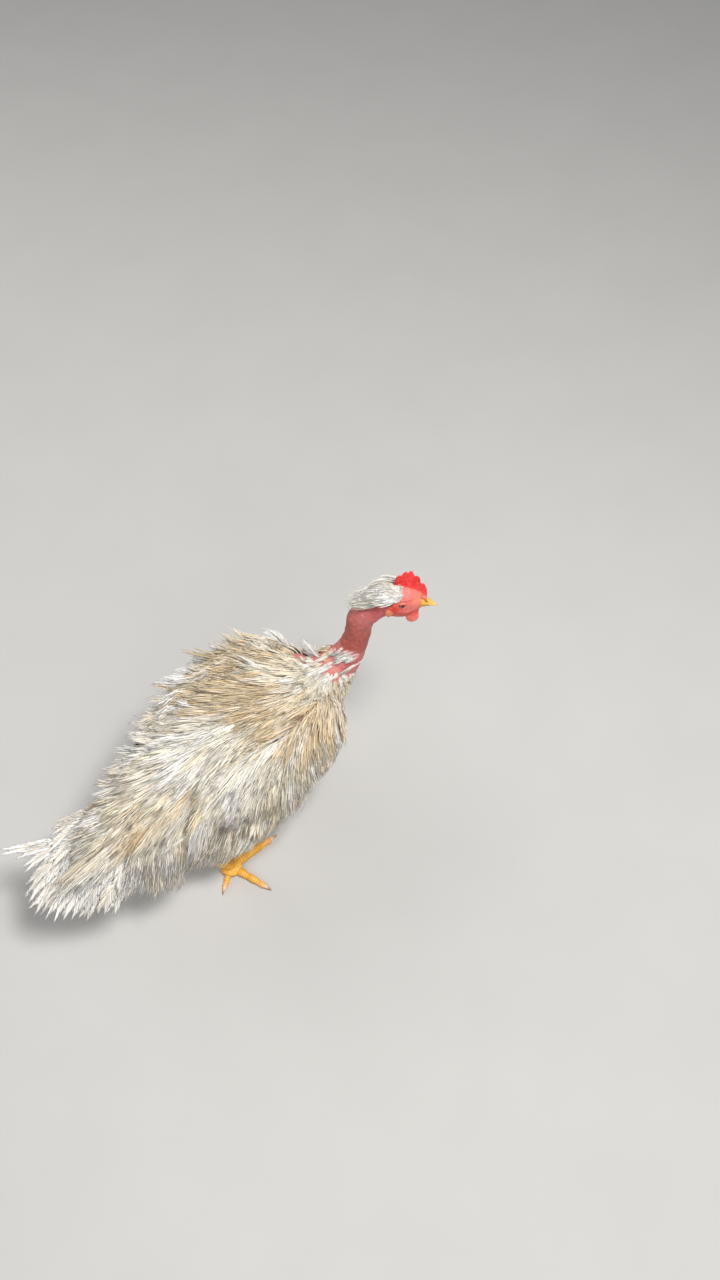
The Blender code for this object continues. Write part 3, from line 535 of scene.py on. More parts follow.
def cut_out(verts, faces, keep):
    """The faces of a mesh that a mask keeps, with their vertices alone."""
    faces = faces[keep]
    used = np.unique(faces)
    index = np.full(len(verts), -1)
    index[used] = np.arange(len(used))
    return verts[used], index[faces]


def build_skin():
    """The skin as arrays: coarse under the plumage, fine on the neck and head, with a hidden overlap between."""
    solids = body_solids()
    coarse = solids.union(COAT_VOXEL, 6)
    verts, faces = solids.union(BARE_VOXEL, 3)
    front, front_faces = cut_out(verts, faces, verts[faces].mean(1)[:, 0] > FRONT_CUT)
    front = shape_front(front, front_faces)
    verts, faces = coarse
    back, back_faces = cut_out(verts, faces, verts[faces].mean(1)[:, 0] < FRONT_CUT + OVERLAP)
    behind = smooth(FRONT_CUT - 0.006, FRONT_CUT + 0.001, back[:, 0])
    back = back - mesh_normals(back, back_faces) * (0.0006 * behind)[:, None]
    return np.concatenate([back, front]), np.concatenate([back_faces, front_faces + len(back)]), coarse


def shape_front(verts, faces):
    """Eye sockets, grain of the comb, folds of the neck and pimples where feathers once grew."""
    normal = mesh_normals(verts, faces)
    h = to_head(verts)
    neck_at = on_neck(verts)[0]
    bare = smooth(0.34, 0.44, neck_at) * (h[:, 0] < 0.03)
    fold = noise(verts * (1.0, 1.0, 1.6), 0.0050, 3) * 0.00028 + noise(verts, 0.0021, 4) * 0.00016
    verts = verts + normal * (bare * fold)[:, None]
    grain = comb_share(h) * 0.00022 * noise(verts, 0.0014, 5)
    verts = verts + normal * grain[:, None]
    for sign in (1, -1):
        middle = from_head(np.array(EYE_PLACE) * (1, sign, 1))
        out = HEAD_TURN @ unit(np.array((0.10, sign, 0.05)))
        away = verts - middle
        distance = np.linalg.norm(away, axis=1)
        facing = away @ out > 0
        inside = facing & (distance < EYE_RADIUS + 0.0011) & (h[:, 1] * sign > 0.004)
        pulled = middle + unit(away) * np.minimum(distance, EYE_RADIUS * 0.86)[:, None]
        verts = np.where(inside[:, None], pulled, verts)
        ear = np.array((EAR_PLACE[0], 0.0148 * sign, EAR_PLACE[1]))
        hole = np.exp(-np.sum(((h - ear) / (0.0013, 0.0030, 0.0017)) ** 2, axis=1))
        verts = verts - normal * (hole * 0.0016)[:, None]
    return verts


def on_sides(h, forward, height, wide, tall):
    """A soft round mark on both sides of the head, from 1 at its middle to 0."""
    return np.exp(-(((h[:, 0] - forward) / wide) ** 2 + ((h[:, 2] - height) / tall) ** 2))


def comb_share(h):
    """1 on the comb, fading into the head at its foot."""
    foot = np.interp(h[:, 0], (-0.010, 0.004, 0.014, 0.020, 0.027), (0.0166, 0.0172, 0.0142, 0.0106, 0.0050))
    ahead = smooth(-0.0115, -0.0080, h[:, 0])
    return smooth(foot - 0.0016, foot + 0.0008, h[:, 2]) * ahead * (np.abs(h[:, 1]) < 0.0085)


def skin_tint(p):
    """The bare skin's colours: pale under the plumage, red on the neck, face, comb and wattles."""
    h = to_head(p)
    neck_at, gap = on_neck(p)
    mottle = 0.5 + 0.5 * noise(p, 0.0075, 6)
    fine = 0.5 + 0.5 * noise(p, 0.0022, 7)
    colour = np.tile(paint(224, 188, 168), (len(p), 1))
    # The neck: pink at its foot and under the head, with a band of painted shade in dusky red between.
    near = (gap < 0.004) | (p[:, 0] > 0.16)
    rosy = blend(paint(214, 134, 132), paint(194, 106, 104), mottle)
    # Painted shade: the middle of the neck is painted a dusky red.
    shaded_neck = blend(paint(150, 76, 64), paint(176, 92, 80), fine)
    neck_shade = smooth(0.50, 0.62, neck_at) * (1 - 0.85 * smooth(0.72, 0.88, neck_at))
    neck_shade = np.clip(neck_shade + 0.22 * noise(p, 0.012, 8), 0, 1)
    neck_red = smooth(0.30, 0.42, neck_at) * near
    colour = blend(colour, blend(rosy, shaded_neck, neck_shade), neck_red)
    # The bare patches at its foot.
    sore = np.zeros(len(p))
    for place, reach in BARE:
        sore = np.maximum(sore, smooth(reach + 0.006, reach - 0.001, np.linalg.norm(p - place, axis=1)))
    colour = blend(colour, rosy, sore * (1 - neck_red))
    # The head.
    on_head = smooth(-0.034, -0.022, h[:, 0]) * smooth(0.050, 0.036, np.linalg.norm(h, axis=1))
    face = blend(paint(228, 126, 116), paint(212, 90, 82), mottle * 0.7)
    face = blend(face, paint(238, 152, 118), on_sides(h, 0.0160, 0.0040, 0.0060, 0.0060) * 0.8)
    side = np.abs(h[:, 1])
    low = smooth(-0.004, -0.012, h[:, 2])
    face = blend(face, blend(paint(214, 58, 52), paint(232, 90, 80), fine), low * 0.85)
    back = smooth(-0.004, -0.014, h[:, 0])
    face = blend(face, paint(206, 108, 112), back * 0.75)
    ear = on_sides(h, -0.0075, -0.0030, 0.0050, 0.0068) * (side > 0.006)
    face = blend(face, paint(218, 62, 38), np.clip(ear * 1.2, 0, 1))
    # Painted shade: the hollow of the ear is painted dark.
    hole = on_sides(h, *EAR_PLACE, 0.0016, 0.0020) * (side > 0.008)
    face = blend(face, paint(96, 26, 22), hole * 0.85)
    lobe = 1 - smooth(0.0038, 0.0056, np.sqrt(((h[:, 0] + 0.0118) / 0.9) ** 2 + (h[:, 2] + 0.0090) ** 2))
    face = blend(face, blend(paint(208, 124, 80), paint(218, 150, 104), fine), lobe * (side > 0.009) * 0.95)
    wattle = smooth(-0.0140, -0.0175, h[:, 2]) * smooth(0.002, 0.006, h[:, 0])
    face = blend(face, blend(paint(226, 96, 86), paint(236, 142, 126), fine), wattle)
    comb = comb_share(h)
    crest = blend(paint(238, 52, 48), paint(214, 30, 34), mottle)
    # Painted highlight: lighter pink spots scattered over the comb by noise.
    crest = blend(crest, paint(248, 104, 96), fine * 0.35)
    face = blend(face, crest, comb)
    colour = blend(colour, face, on_head)
    # All bare skin is a little deeper than the colours above.
    red = np.maximum(on_head, np.maximum(neck_red, 0.7 * sore))[:, None]
    return np.clip(colour * (0.94 + 0.12 * fine[:, None]) * (1 - red * np.array((0.16, 0.23, 0.20))), 0, 1)


# The lie and the markings of the plumage.

# Where the picture shows it, the height there, and the way that the feathers lie in the picture: right and up.
FLOW = (
    (300, 640, 0.222, -0.80, 0.42), (270, 645, 0.224, -0.95, 0.25), (235, 662, 0.216, -1.00, 0.12),
    (200, 682, 0.200, -1.00, 0.02), (262, 680, 0.230, -1.00, 0.02), (296, 676, 0.226, -0.92, -0.36),
    (290, 700, 0.232, -1.00, -0.06), (240, 705, 0.235, -1.00, -0.10), (330, 694, 0.216, -0.30, -0.95),
    (346, 702, 0.200, 0.30, -0.95), (345, 715, 0.195, 0.10, -1.00), (335, 750, 0.170, 0.00, -1.00),
    (300, 740, 0.200, 0.00, -1.00), (300, 775, 0.160, -0.05, -1.00), (262, 785, 0.160, -0.15, -1.00),
    (258, 738, 0.215, -0.72, -0.70), (230, 780, 0.205, -0.62, -0.80), (205, 770, 0.220, -0.75, -0.62),
    (205, 810, 0.195, -0.42, -0.90), (190, 845, 0.175, -0.15, -1.00), (165, 850, 0.180, -0.12, -1.00),
    (190, 720, 0.226, -1.00, -0.16), (160, 742, 0.190, -1.00, -0.14), (170, 780, 0.215, -0.95, -0.30),
    (125, 800, 0.195, -0.95, -0.32), (140, 825, 0.195, -0.80, -0.62), (105, 840, 0.180, -0.90, -0.40),
)
FLOW_AT = np.array([spot(*row[:3]) for row in FLOW])
FLOW_WAY = np.array([CAMERA_RIGHT * row[3] + CAMERA_UP * row[4] for row in FLOW])
FLOW_REACH = 0.023
THIGH_LINES = {side: thigh_line(side, 24) for side in LEGS}


def part_of(p):
    """Masks of the points on the head and on each thigh."""
    head = is_head(p)
    thighs = {}
    for side, line in THIGH_LINES.items():
        gap = np.linalg.norm(p[:, None] - line[None, :, :3], axis=-1) - line[None, :, 3]
        at = np.argmin(gap, axis=1)
        thighs[side] = (gap[np.arange(len(p)), at] < 0.004) & (p[:, 2] < 0.128) & (at > 4)
    return head, thighs


def lie(p, normal):
    """The way that the plumage lies at points of the skin: seen in the picture, else back and down the body."""
    sign = np.where(p[:, 1:2] + 0.006 >= 0, 1.0, -1.0)
    down = np.concatenate([0 * sign, sign * 0.55, 0 * sign - 1.0], axis=1)
    down = down - normal * dot(down, normal)
    back = np.array((-1.0, 0.0, 0.0)) - normal * (-normal[:, :1])
    under = smooth(-0.35, -0.80, normal[:, 2:3])
    rule = unit(back) + unit(down) * (0.85 * (1 - under))
    weight = np.exp(-np.sum((p[:, None] - FLOW_AT[None]) ** 2, axis=-1) / (2 * FLOW_REACH ** 2))
    facing = np.minimum(normal @ CAMERA_FORWARD, -0.28)[:, None]
    seen = np.zeros_like(p)
    for k, way in enumerate(FLOW_WAY):
        v = way[None] + CAMERA_FORWARD[None] * (-(normal @ way)[:, None] / facing)
        seen += unit(v) * weight[:, k:k + 1]
    visible = smooth(0.05, 0.30, -(normal @ CAMERA_FORWARD)[:, None])
    result = seen * visible + rule * (0.06 + 0.9 * (1 - visible) * weight.sum(1, keepdims=True))
    head, thighs = part_of(p)
    for side, mask in thighs.items():
        shank = unit(np.array(LEGS[side]["hock"]) - np.array(LEGS[side]["thigh"][0]))
        leg = shank + np.array((0.0, 0.0, -0.5))
        result = np.where(mask[:, None], leg - normal * (normal @ leg)[:, None], result)
    h = to_head(p)
    climb = -0.10 + 26 * np.maximum(h[:, 2] - 0.006, 0) - 12 * np.abs(h[:, 1])
    nape = np.stack([0 * h[:, 0] - 1.0, 7.0 * h[:, 1], climb], -1) @ HEAD_TURN.T
    result = np.where(head[:, None], nape, result)
    result = result - normal * dot(result, normal)
    return unit(result)


# Patches of buff and of white, where the picture shows them, their reach and their strength.
BUFFS = (
    (235, 665, 0.220, 0.026, 1.0), (262, 650, 0.225, 0.022, 1.0), (240, 700, 0.235, 0.020, 0.9),
    (290, 702, 0.230, 0.020, 1.0), (332, 704, 0.210, 0.020, 1.0), (262, 690, 0.234, 0.022, 0.8),
    (205, 790, 0.210, 0.014, 0.9), (196, 815, 0.195, 0.013, 1.0), (186, 842, 0.180, 0.012, 0.8),
    (278, 772, 0.165, 0.010, 1.0), (272, 800, 0.140, 0.010, 0.8), (305, 765, 0.165, 0.009, 0.9),
    (322, 745, 0.180, 0.009, 0.9), (165, 800, 0.205, 0.012, 0.5), (120, 835, 0.185, 0.014, 0.5),
)
WHITES = (
    (297, 677, 0.225, 0.013, 1.3), (254, 735, 0.220, 0.018, 1.2), (225, 790, 0.200, 0.014, 1.1),
    (292, 745, 0.190, 0.008, 1.0), (262, 770, 0.165, 0.009, 0.9), (190, 722, 0.225, 0.018, 0.9),
    (160, 760, 0.205, 0.020, 1.0), (338, 745, 0.170, 0.012, 0.9), (190, 745, 0.225, 0.014, 0.7),
)
BUFF_AT = np.array([spot(*row[:3]) for row in BUFFS])
WHITE_AT = np.array([spot(*row[:3]) for row in WHITES])


def marking(p):
    """Share of buff in the plumage at points, from 0 for white to 1 for buff."""
    share = 0.34 + 0.44 * noise(p, 0.020, 1) + 0.34 * noise(p, 0.008, 2)
    for rows, places, strength in ((BUFFS, BUFF_AT, 0.58), (WHITES, WHITE_AT, -0.75)):
        for row, place in zip(rows, places):
            away = np.sum((p - place) ** 2, axis=1)
            share = share + strength * row[4] * np.exp(-away / (2 * row[3] ** 2))
    return np.clip(share - 0.35 * smooth(-0.10, -0.16, p[:, 0]), 0, 1)


def bare_share(p):
    """1 where the skin is bare: the neck, the face, and the patches at the foot of the neck."""
    neck_at, gap = on_neck(p)
    h = to_head(p)
    bare = smooth(0.36, 0.42, neck_at) * (gap < 0.006)
    for place, reach in BARE:
        bare = np.maximum(bare, np.linalg.norm(p - place, axis=1) < reach)
    edge = np.interp(h[:, 0], (-0.024, -0.014, -0.006, 0.001), (-0.004, 0.0050, 0.0056, 0.0120))
    cap = (h[:, 0] < 0.0010) & (h[:, 2] > edge)
    cap &= ~((np.abs(h[:, 1]) < 0.0042) & (h[:, 0] > -0.0085))
    return np.where(is_head(p), np.where(cap, 0.0, 1.0), bare)


# Feathers.


class Ground:
    """Nearest points and normals of the skin under the coat."""

    def __init__(self, verts, faces):
        self.verts = verts
        normal = mesh_normals(verts, faces)
        for _ in range(6):
            total = np.zeros_like(normal)
            mean = normal[faces].mean(1)
            for k in range(faces.shape[1]):
                np.add.at(total, faces[:, k], mean)
            normal = unit(total)
        self.normal = normal
        self.tree = KDTree(len(verts))
        for i, v in enumerate(verts):
            self.tree.insert(v, i)
        self.tree.balance()

    def near(self, points):
        """The skin's nearest vertices to points, and the normals there."""
        at = np.array([self.tree.find(p)[1] for p in points])
        return self.verts[at], self.normal[at]


def scatter(ground, reach, allowed, seed):
    """Vertices of the skin chosen at random with an even distance between them."""
    pick = np.random.default_rng(seed)
    order = pick.permutation(np.nonzero(allowed)[0])
    taken, cells = [], {}
    verts = ground.verts
    around = [(a, b, c) for a in (-1, 0, 1) for b in (-1, 0, 1) for c in (-1, 0, 1)]

    def free(p, key):
        """True where no chosen vertex is nearer than the reach."""
        for a, b, c in around:
            for j in cells.get((key[0] + a, key[1] + b, key[2] + c), ()):
                d = p - verts[j]
                if d[0] * d[0] + d[1] * d[1] + d[2] * d[2] < reach * reach:
                    return False
        return True

    for i in order:
        key = tuple((verts[i] // reach).astype(int))
        if free(verts[i], key):
            taken.append(i)
            cells.setdefault(key, []).append(i)
    return np.array(taken)


def march(ground, roots, length, rise, hold, pull, way=None, spread=None, drop=0.10, steps=7):
    """Middle lines of feathers that leave the skin at their roots and follow the lie of the plumage over it.

    rise: height of the tip over the skin as a share of the length. hold: how straight a feather goes on. spread: how
    far it turns aside at its root. drop: how its tip sinks. pull: how strongly it is drawn back to the skin.
    """
    count = len(roots)
    q, normal = ground.near(roots)
    flow = lie(q, normal) if way is None else unit(way)
    side = np.cross(normal, flow)
    if spread is not None:
        flow = unit(flow + side * spread[:, None])
    points = np.empty((steps + 1, count, 3))
    ups = np.empty_like(points)
    points[0] = roots - flow * ROOT_DEPTH - normal * ROOT_DEPTH * 0.8
    ups[0] = normal
    step = (length / steps)[:, None]
    up = normal
    here = points[0]
    for k in range(1, steps + 1):
        s = k / steps
        free = here + flow * step
        free[:, 2] -= (drop * s) * step[:, 0]
        q, normal = ground.near(free)
        gap = dot(free - q, normal)
        want = (rise * length * s ** 0.9)[:, None] + 0.0006
        wrap = np.clip(1 - (gap - want) / WRAP_REACH, 0, 1)
        move = np.maximum(want - gap, -pull * step * wrap)
        free = free + normal * np.minimum(move, step * 0.9)
        free[:, 2] = np.maximum(free[:, 2], LOWEST)
        free[:, 0] = np.maximum(free[:, 0], REARMOST)
        free[:, 1] -= 0.5 * np.maximum(free[:, 1] - LEFT_HOLD, 0)
        went = unit(free - here)
        up = unit(up * 0.4 + normal * 0.6)
        up = unit(up - went * dot(up, went))
        points[k], ups[k] = free, up
        turn = lie(q, normal) if way is None else flow
        if spread is not None:
            turn = turn + np.cross(normal, turn) * (spread * (1 - s))[:, None]
        flow = unit(went * hold + turn * (1 - hold))
        here = free
    return points, ups


def finished(points, up):
    """Middle lines kept above the floor, with their ups made square to them."""
    points[..., 2] = np.maximum(points[..., 2], LOWEST)
    went = unit(np.gradient(points, axis=0))
    return points, unit(up - went * dot(up, went))


def free_lines(root, along, up, length, droop, sway, steps=9, curl=0.0):
    """Middle lines that leave the body and bend by their own weight and to one side."""
    along = unit(along)
    side = unit(np.cross(up, along))
    up = np.cross(along, side)
    s = np.linspace(0, 1, steps + 1)[:, None, None]
    bend = np.array((0.0, 0.0, -droop)) + side * sway[:, None] + up * curl
    return finished(root + length[:, None] * (along * s + bend * s * s), up)


def bent_lines(root, tip, up, bulge):
    """Middle lines from roots to tips that bow upwards between them."""
    t = np.linspace(0, 1, 10)[:, None, None]
    middle = (root + tip) / 2 + up * np.linalg.norm(tip - root, axis=1, keepdims=True) * bulge
    return finished(root * (1 - t) ** 2 + middle * (2 * t * (1 - t)) + tip * t ** 2, up)


def along_lines(points, ups, s):
    """Places, ups and sides at shares s of the feathers' lengths, where s has a row for each feather."""
    steps = len(points) - 1
    reach = np.clip(s, 0, None) * steps
    at = np.clip(reach.astype(int), 0, steps - 1)
    t = (reach - at)[..., None]
    row = np.arange(points.shape[1])[:, None]
    a, b = points[at, row], points[at + 1, row]
    # Round the corners of the middle line by its slope at both ends of the step.
    slope = np.gradient(points, axis=0)
    m, n = slope[at, row], slope[at + 1, row]
    inside = np.clip(t, 0, 1)
    h1 = 2 * inside ** 3 - 3 * inside ** 2 + 1
    h2 = inside ** 3 - 2 * inside ** 2 + inside
    h3 = -2 * inside ** 3 + 3 * inside ** 2
    h4 = inside ** 3 - inside ** 2
    place = a * h1 + m * h2 + b * h3 + n * h4 + n * np.maximum(t - 1, 0)
    up = unit(ups[at, row] * (1 - inside) + ups[at + 1, row] * inside)
    went = unit(m * (1 - inside) + n * inside)
    return place, up, unit(np.cross(up, went))


class Coat:
    """One piece of the coat, gathered feather by feather as arrays."""

    def __init__(self):
        self.verts, self.tints, self.uvs, self.faces, self.count = [], [], [], [], 0

    def add(self, verts, tints, uvs, faces):
        """Arrays of shape (many, points, 3), with the faces of one of the many."""
        many, each = verts.shape[:2]
        base = self.count + np.arange(many)[:, None, None] * each
        self.verts.append(verts.reshape(-1, 3))
        self.tints.append(tints.reshape(-1, 3))
        self.uvs.append(uvs.reshape(-1, 2))
        self.faces.append((faces[None] + base).reshape(-1, 3))
        self.count += many * each

    def make(self, name, material):
        """The piece itself, drawn in where it reaches too far to the left."""
        verts = np.concatenate(self.verts)
        verts[:, 1] -= 0.8 * np.maximum(verts[:, 1] - LEFT_EDGE, 0)
        obj = new_mesh(name, verts, np.concatenate(self.faces), material,
                       np.clip(np.concatenate(self.tints), 0, 1), np.concatenate(self.uvs))
        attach(obj, "root")


def rung_faces(rows, sides):
    """Triangles of a tube of rows of so many sides, closed by a cap at the root and by one point at the tip."""
    faces = []
    for r in range(rows - 1):
        for i in range(sides):
            j = (i + 1) % sides
            a, b, c, d = r * sides + i, r * sides + j, (r + 1) * sides + j, (r + 1) * sides + i
            faces += [(a, b, c), (a, c, d)]
    last = (rows - 1) * sides
    faces += [(last + i, last + (i + 1) % sides, rows * sides) for i in range(sides)]
    faces += [(0, i + 1, i) for i in range(1, sides - 1)]
    return np.array(faces)


STRAND_ROWS = np.array((0.0, 0.40, 0.78))
STRAND_FACES = rung_faces(3, 3)


def add_strands(coat, points, ups, start, end, offset, side_way, wide, lift, tint, patch, wave, out=0.75, gather=0.0):
    """Thin tapering strands of barbs.

    start, end: shares of the feather's length, a row for each feather. offset and side_way: how far to the side
    a strand starts and ends. lift: how far above the blade. tint: a colour for each strand's root and tip. patch: the
    feather's place in the bake. wave: how far strands stray. gather: how far they close at the tip.
    """
    many, each = start.shape
    t = np.concatenate([STRAND_ROWS, (1.0,)])
    s = start[..., None] + (end - start)[..., None] * t
    place, up, side = along_lines(points, ups, s.reshape(many, -1))
    shape = (many, each, 4, 3)
    place, up, side = place.reshape(shape), up.reshape(shape), side.reshape(shape)
    closing = (np.zeros((many, 1)) + gather)[..., None]
    away = offset[..., None] + side_way[..., None] * t ** out * (1 - closing * t ** 1.6)
    phase = chance.uniform(0, 2 * math.pi, (2, many, each, 1))
    size = wave * np.abs(chance.normal(0, 1, (2, many, each, 1)))
    shake = size * (np.sin(phase + t * 5.0) - np.sin(phase)) * t ** 0.3
    high = lift[..., None] * (0.15 + t ** 1.5)
    place = place + side * (away + shake[0])[..., None] + up * (high + shake[1] * 0.6)[..., None]
    half = wide[..., None] * np.array((0.60, 1.0, 0.75))
    body, u, v = place[:, :, :3], up[:, :, :3], side[:, :, :3]
    left, right = body - v * half[..., None], body + v * half[..., None]
    top = body + u * (half * 0.55)[..., None]
    rings = np.stack([left, right, top], axis=3).reshape(many * each, 9, 3)
    verts = np.concatenate([rings, place[:, :, 3].reshape(-1, 1, 3)], axis=1)
    shade = t[None, None, :, None]
    colour = tint[0][:, :, None] * (1 - shade) + tint[1][:, :, None] * shade
    # Painted shade and light: strands are darker at their roots near the skin, and a little lighter at their tips.
    colour = colour * np.array((0.74, 0.95, 1.02, 1.04))[None, None, :, None]
    tints = np.concatenate([np.repeat(colour[:, :, :3], 3, axis=2), colour[:, :, 3:]], axis=2).reshape(-1, 10, 3)
    slot = (np.arange(each) + 0.5) / each
    u0 = patch[:, None, None, 0] + BAKE_PATCH * (slot[None, :, None] - 0.5) + 0 * s
    v0 = patch[:, None, None, 1] + BAKE_PATCH * (t[None, None] - 0.5) + 0 * s
    uv = np.stack([u0, v0], -1)
    uvs = np.concatenate([np.repeat(uv[:, :, :3], 3, axis=2), uv[:, :, 3:]], axis=2).reshape(-1, 10, 2)
    coat.add(verts, tints, uvs, STRAND_FACES)


def add_blades(coat, points, ups, half, end, tint, patch, rows=6, ragged=0.22, camber=0.16, profile=None):
    """The feathers' blades: thin, cupped and ragged at the edge, closed underneath."""
    many = points.shape[1]
    t = np.linspace(0, 1, rows + 1)
    if profile is None:
        profile = np.sin(math.pi * np.clip(0.10 + 0.90 * t, 0, 1)) ** 0.6 * (1 - 0.25 * t)
    u = np.array((-1.0, -0.36, 0.36, 1.0))
    width = half[:, None] * profile[None, :-1] * (1 + chance.uniform(-ragged, ragged, (many, rows)))
    s = t[None, :-1, None] * end[:, None, None] + 0.10 * np.abs(u)[None, None] * t[None, :-1, None] ** 0.5
    s = s + chance.uniform(-0.03, 0.03, s.shape) * (np.abs(u) > 0.9)
    place, up, side = along_lines(points, ups, s.reshape(many, -1))
    place, up, side = (a.reshape(many, rows, 4, 3) for a in (place, up, side))
    place = place + side * (u[None, None] * width[..., None])[..., None]
    place = place - up * (camber * np.abs(u)[None, None] ** 1.6 * width[..., None])[..., None]
    under = place[:, :, 1:3].mean(2) - up[:, :, 1] * 0.0004
    rings = np.concatenate([place[:, :, ::-1], under[:, :, None]], axis=2).reshape(many, rows * 5, 3)
    tip, _, _ = along_lines(points, ups, (end * 1.02)[:, None])
    verts = np.concatenate([rings, tip], axis=1)
    shade = t[None, :, None]
    # Painted shade: blades darken towards their roots, under the strands.
    colour = (tint[0][:, None] * (1 - shade) + tint[1][:, None] * shade) * (0.66 + 0.26 * shade)
    tints = np.concatenate([np.repeat(colour[:, :-1], 5, axis=1), colour[:, -1:]], axis=1)
    across = np.concatenate([u[::-1], (0.0,)])
    u0 = patch[:, 0, None, None] + 0.0013 * across + 0 * t[None, :-1, None]
    v0 = patch[:, 1, None, None] + BAKE_PATCH * (t[None, :-1, None] - 0.5) + 0 * across
    last = np.stack([patch[:, 0], patch[:, 1] + BAKE_PATCH / 2], -1)[:, None]
    uvs = np.concatenate([np.stack([u0, v0], -1).reshape(many, -1, 2), last], axis=1)
    coat.add(verts, tints, uvs, rung_faces(rows, 5))


def feather_tints(p, many, each, white):
    """Root and tip colours for blades and strands of feathers at points; white: how much whiter than the markings."""
    share = np.clip(marking(p) + chance.normal(0, 0.16, many) - white, 0, 1)
    cool = 0.5 + 0.5 * noise(p, 0.018, 9)
    pale = blend(CREAM, WHITE, np.clip(cool + white + chance.normal(0, 0.25, many), 0, 1))
    warm = blend(BUFF, TAN, np.clip(chance.normal(0.25, 0.22, many) + 0.35 * (share - 0.6), 0, 1))
    main = blend(pale, warm, smooth(0.30, 0.85, share))
    # Painted shade: the roots of the blades are warmer than the rest of the feather.
    root = blend(main, warm, 0.35 * np.ones(many))
    mixed = chance.random((many, each))
    strand = main[:, None] * np.ones((many, each, 1))
    strand = blend(strand, pale[:, None] * np.ones_like(strand), (mixed > 0.72) * 0.5)
    strand = blend(strand, warm[:, None] * np.ones_like(strand), (mixed < 0.12) * (0.25 + 0.4 * share[:, None]))
    light = 1 + chance.normal(0, 0.11, (many, each, 1)) + chance.normal(0, 0.06, (many, 1, 1))
    light = light * np.where(chance.random((many, 1, 1)) < 0.14, 0.80, 1.0)
    # Painted shade: strand roots are darker and warmer than their tips.
    return (root, main), (strand * light * (0.95, 0.92, 0.88), strand * light)


def body_feathers(coat, ground, roots, length, half, rise, patch, each=14, white=0.0, hold=0.5, drop=0.10,
                  spread=0.13, blade=0.74, pull=0.40, wide=0.00052):
    """Loose body feathers that follow the lie of the plumage."""
    many = len(roots)
    turn = chance.normal(0, spread * 0.6, many) + 1.5 * spread * noise(roots, 0.011, 32)
    points, ups = march(ground, roots, length, rise, hold=hold, spread=turn, drop=drop, pull=pull)
    tufts(coat, points, ups, roots, length, half, patch, each, white, blade, wide)


def tufts(coat, points, ups, roots, length, half, patch, each, white, blade=0.74, wide=0.00052):
    """Soft feathers on middle lines: a narrow blade, and strands that fan out past its edge and gather at its tip."""
    many = len(roots)
    (root, main), strand = feather_tints(roots, many, each, white)
    slim = np.clip(1.3 * length / np.median(length), 0.5, 1.0)
    half = half * slim
    add_blades(coat, points, ups, half * 0.62, np.full(many, blade), (root, main), patch)
    sides = np.tile(np.linspace(-1, 1, each), (many, 1)) + chance.normal(0, 0.14, (many, each))
    start = chance.uniform(0.02, 0.38, (many, each))
    end = 1.04 - 0.30 * np.abs(sides) ** 1.5 + chance.normal(0, 0.07, (many, each))
    offset = sides * half[:, None] * 0.22
    side_way = sides * half[:, None] * (0.85 + 0.40 * chance.random((many, each)))
    wideness = wide * slim[:, None] * chance.uniform(0.65, 1.35, (many, each))
    lift = chance.uniform(0.0004, 0.0030, (many, each)) * (length[:, None] / 0.05)
    add_strands(coat, points, ups, start, np.maximum(end, start + 0.3), offset, side_way, wideness, lift, strand,
                patch, wave=0.013 * float(np.mean(length)), gather=chance.uniform(0.10, 0.85, (many, 1)))


def quills(coat, points, ups, half, patch, each, white, p=None, loose=0.25):
    """Wing and tail feathers: a shaft, two webs of close barbs with splits in them, and a blade between."""
    many = points.shape[1]
    (root, main), strand = feather_tints(points[0] if p is None else p, many, each, white)
    profile = np.sin(math.pi * np.clip(0.06 + 0.93 * np.linspace(0, 1, 15), 0, 1)) ** 0.55
    add_blades(coat, points, ups, half * 0.94, np.full(many, 0.90), (root * 1.2, main * 1.1), patch, rows=14,
               ragged=0.08, camber=0.22, profile=profile)
    length = float(np.linalg.norm(np.diff(points, axis=0), axis=-1).sum(0).mean())
    start = np.tile(np.linspace(0.03, 0.85, each // 2), (many, 2)) + chance.normal(0, 0.004, (many, each))
    reach = 0.15 + 0.03 * chance.random((many, each))
    sides = np.repeat((-1.0, 1.0), each // 2)[None] * np.ones((many, 1))
    outline = np.sin(math.pi * np.clip(0.11 + 0.87 * start, 0, 1)) ** 0.6
    away = sides * half[:, None] * outline * (1 + chance.uniform(-0.10, 0.10, (many, each)))
    splits = noise(np.stack([start * 9, sides, start * 0 + np.arange(many)[:, None] * 3.7], -1), 1.0, 41)
    away = away * (1 - loose * smooth(0.55, 0.80, splits))
    lift = chance.uniform(0.0001, 0.0005, (many, each))
    wide = 0.68 * length / each * chance.uniform(0.80, 1.20, (many, each))
    add_strands(coat, points, ups, start, start + reach, 0 * away, away, wide, lift, strand, patch, wave=0.0002,
                out=0.85)
    shaft = np.zeros((many, 1))
    colour = paint(232, 222, 200)[None, None] * np.ones((many, 1, 1))
    add_strands(coat, points, ups, shaft, shaft + 0.97, shaft, shaft, shaft + 0.0008, shaft + 0.0009,
                (colour, colour), patch, wave=0.0)


def patches(p):
    """Places for the bake on an unwrap of the skin's own shape: along the body, and round it."""
    turn = np.arctan2(p[:, 1], p[:, 2] - 0.165) / (2 * math.pi) + 0.5
    ahead = (p[:, 0] + 0.26) / 0.50
    return np.clip(np.stack([ahead, turn], -1), 0.01, 0.99)


def torso_turn(p):
    """The turn round the torso in degrees from the back, left side positive."""
    return np.degrees(np.arctan2(p[:, 1], (p[:, 2] - 0.170) * 0.95))


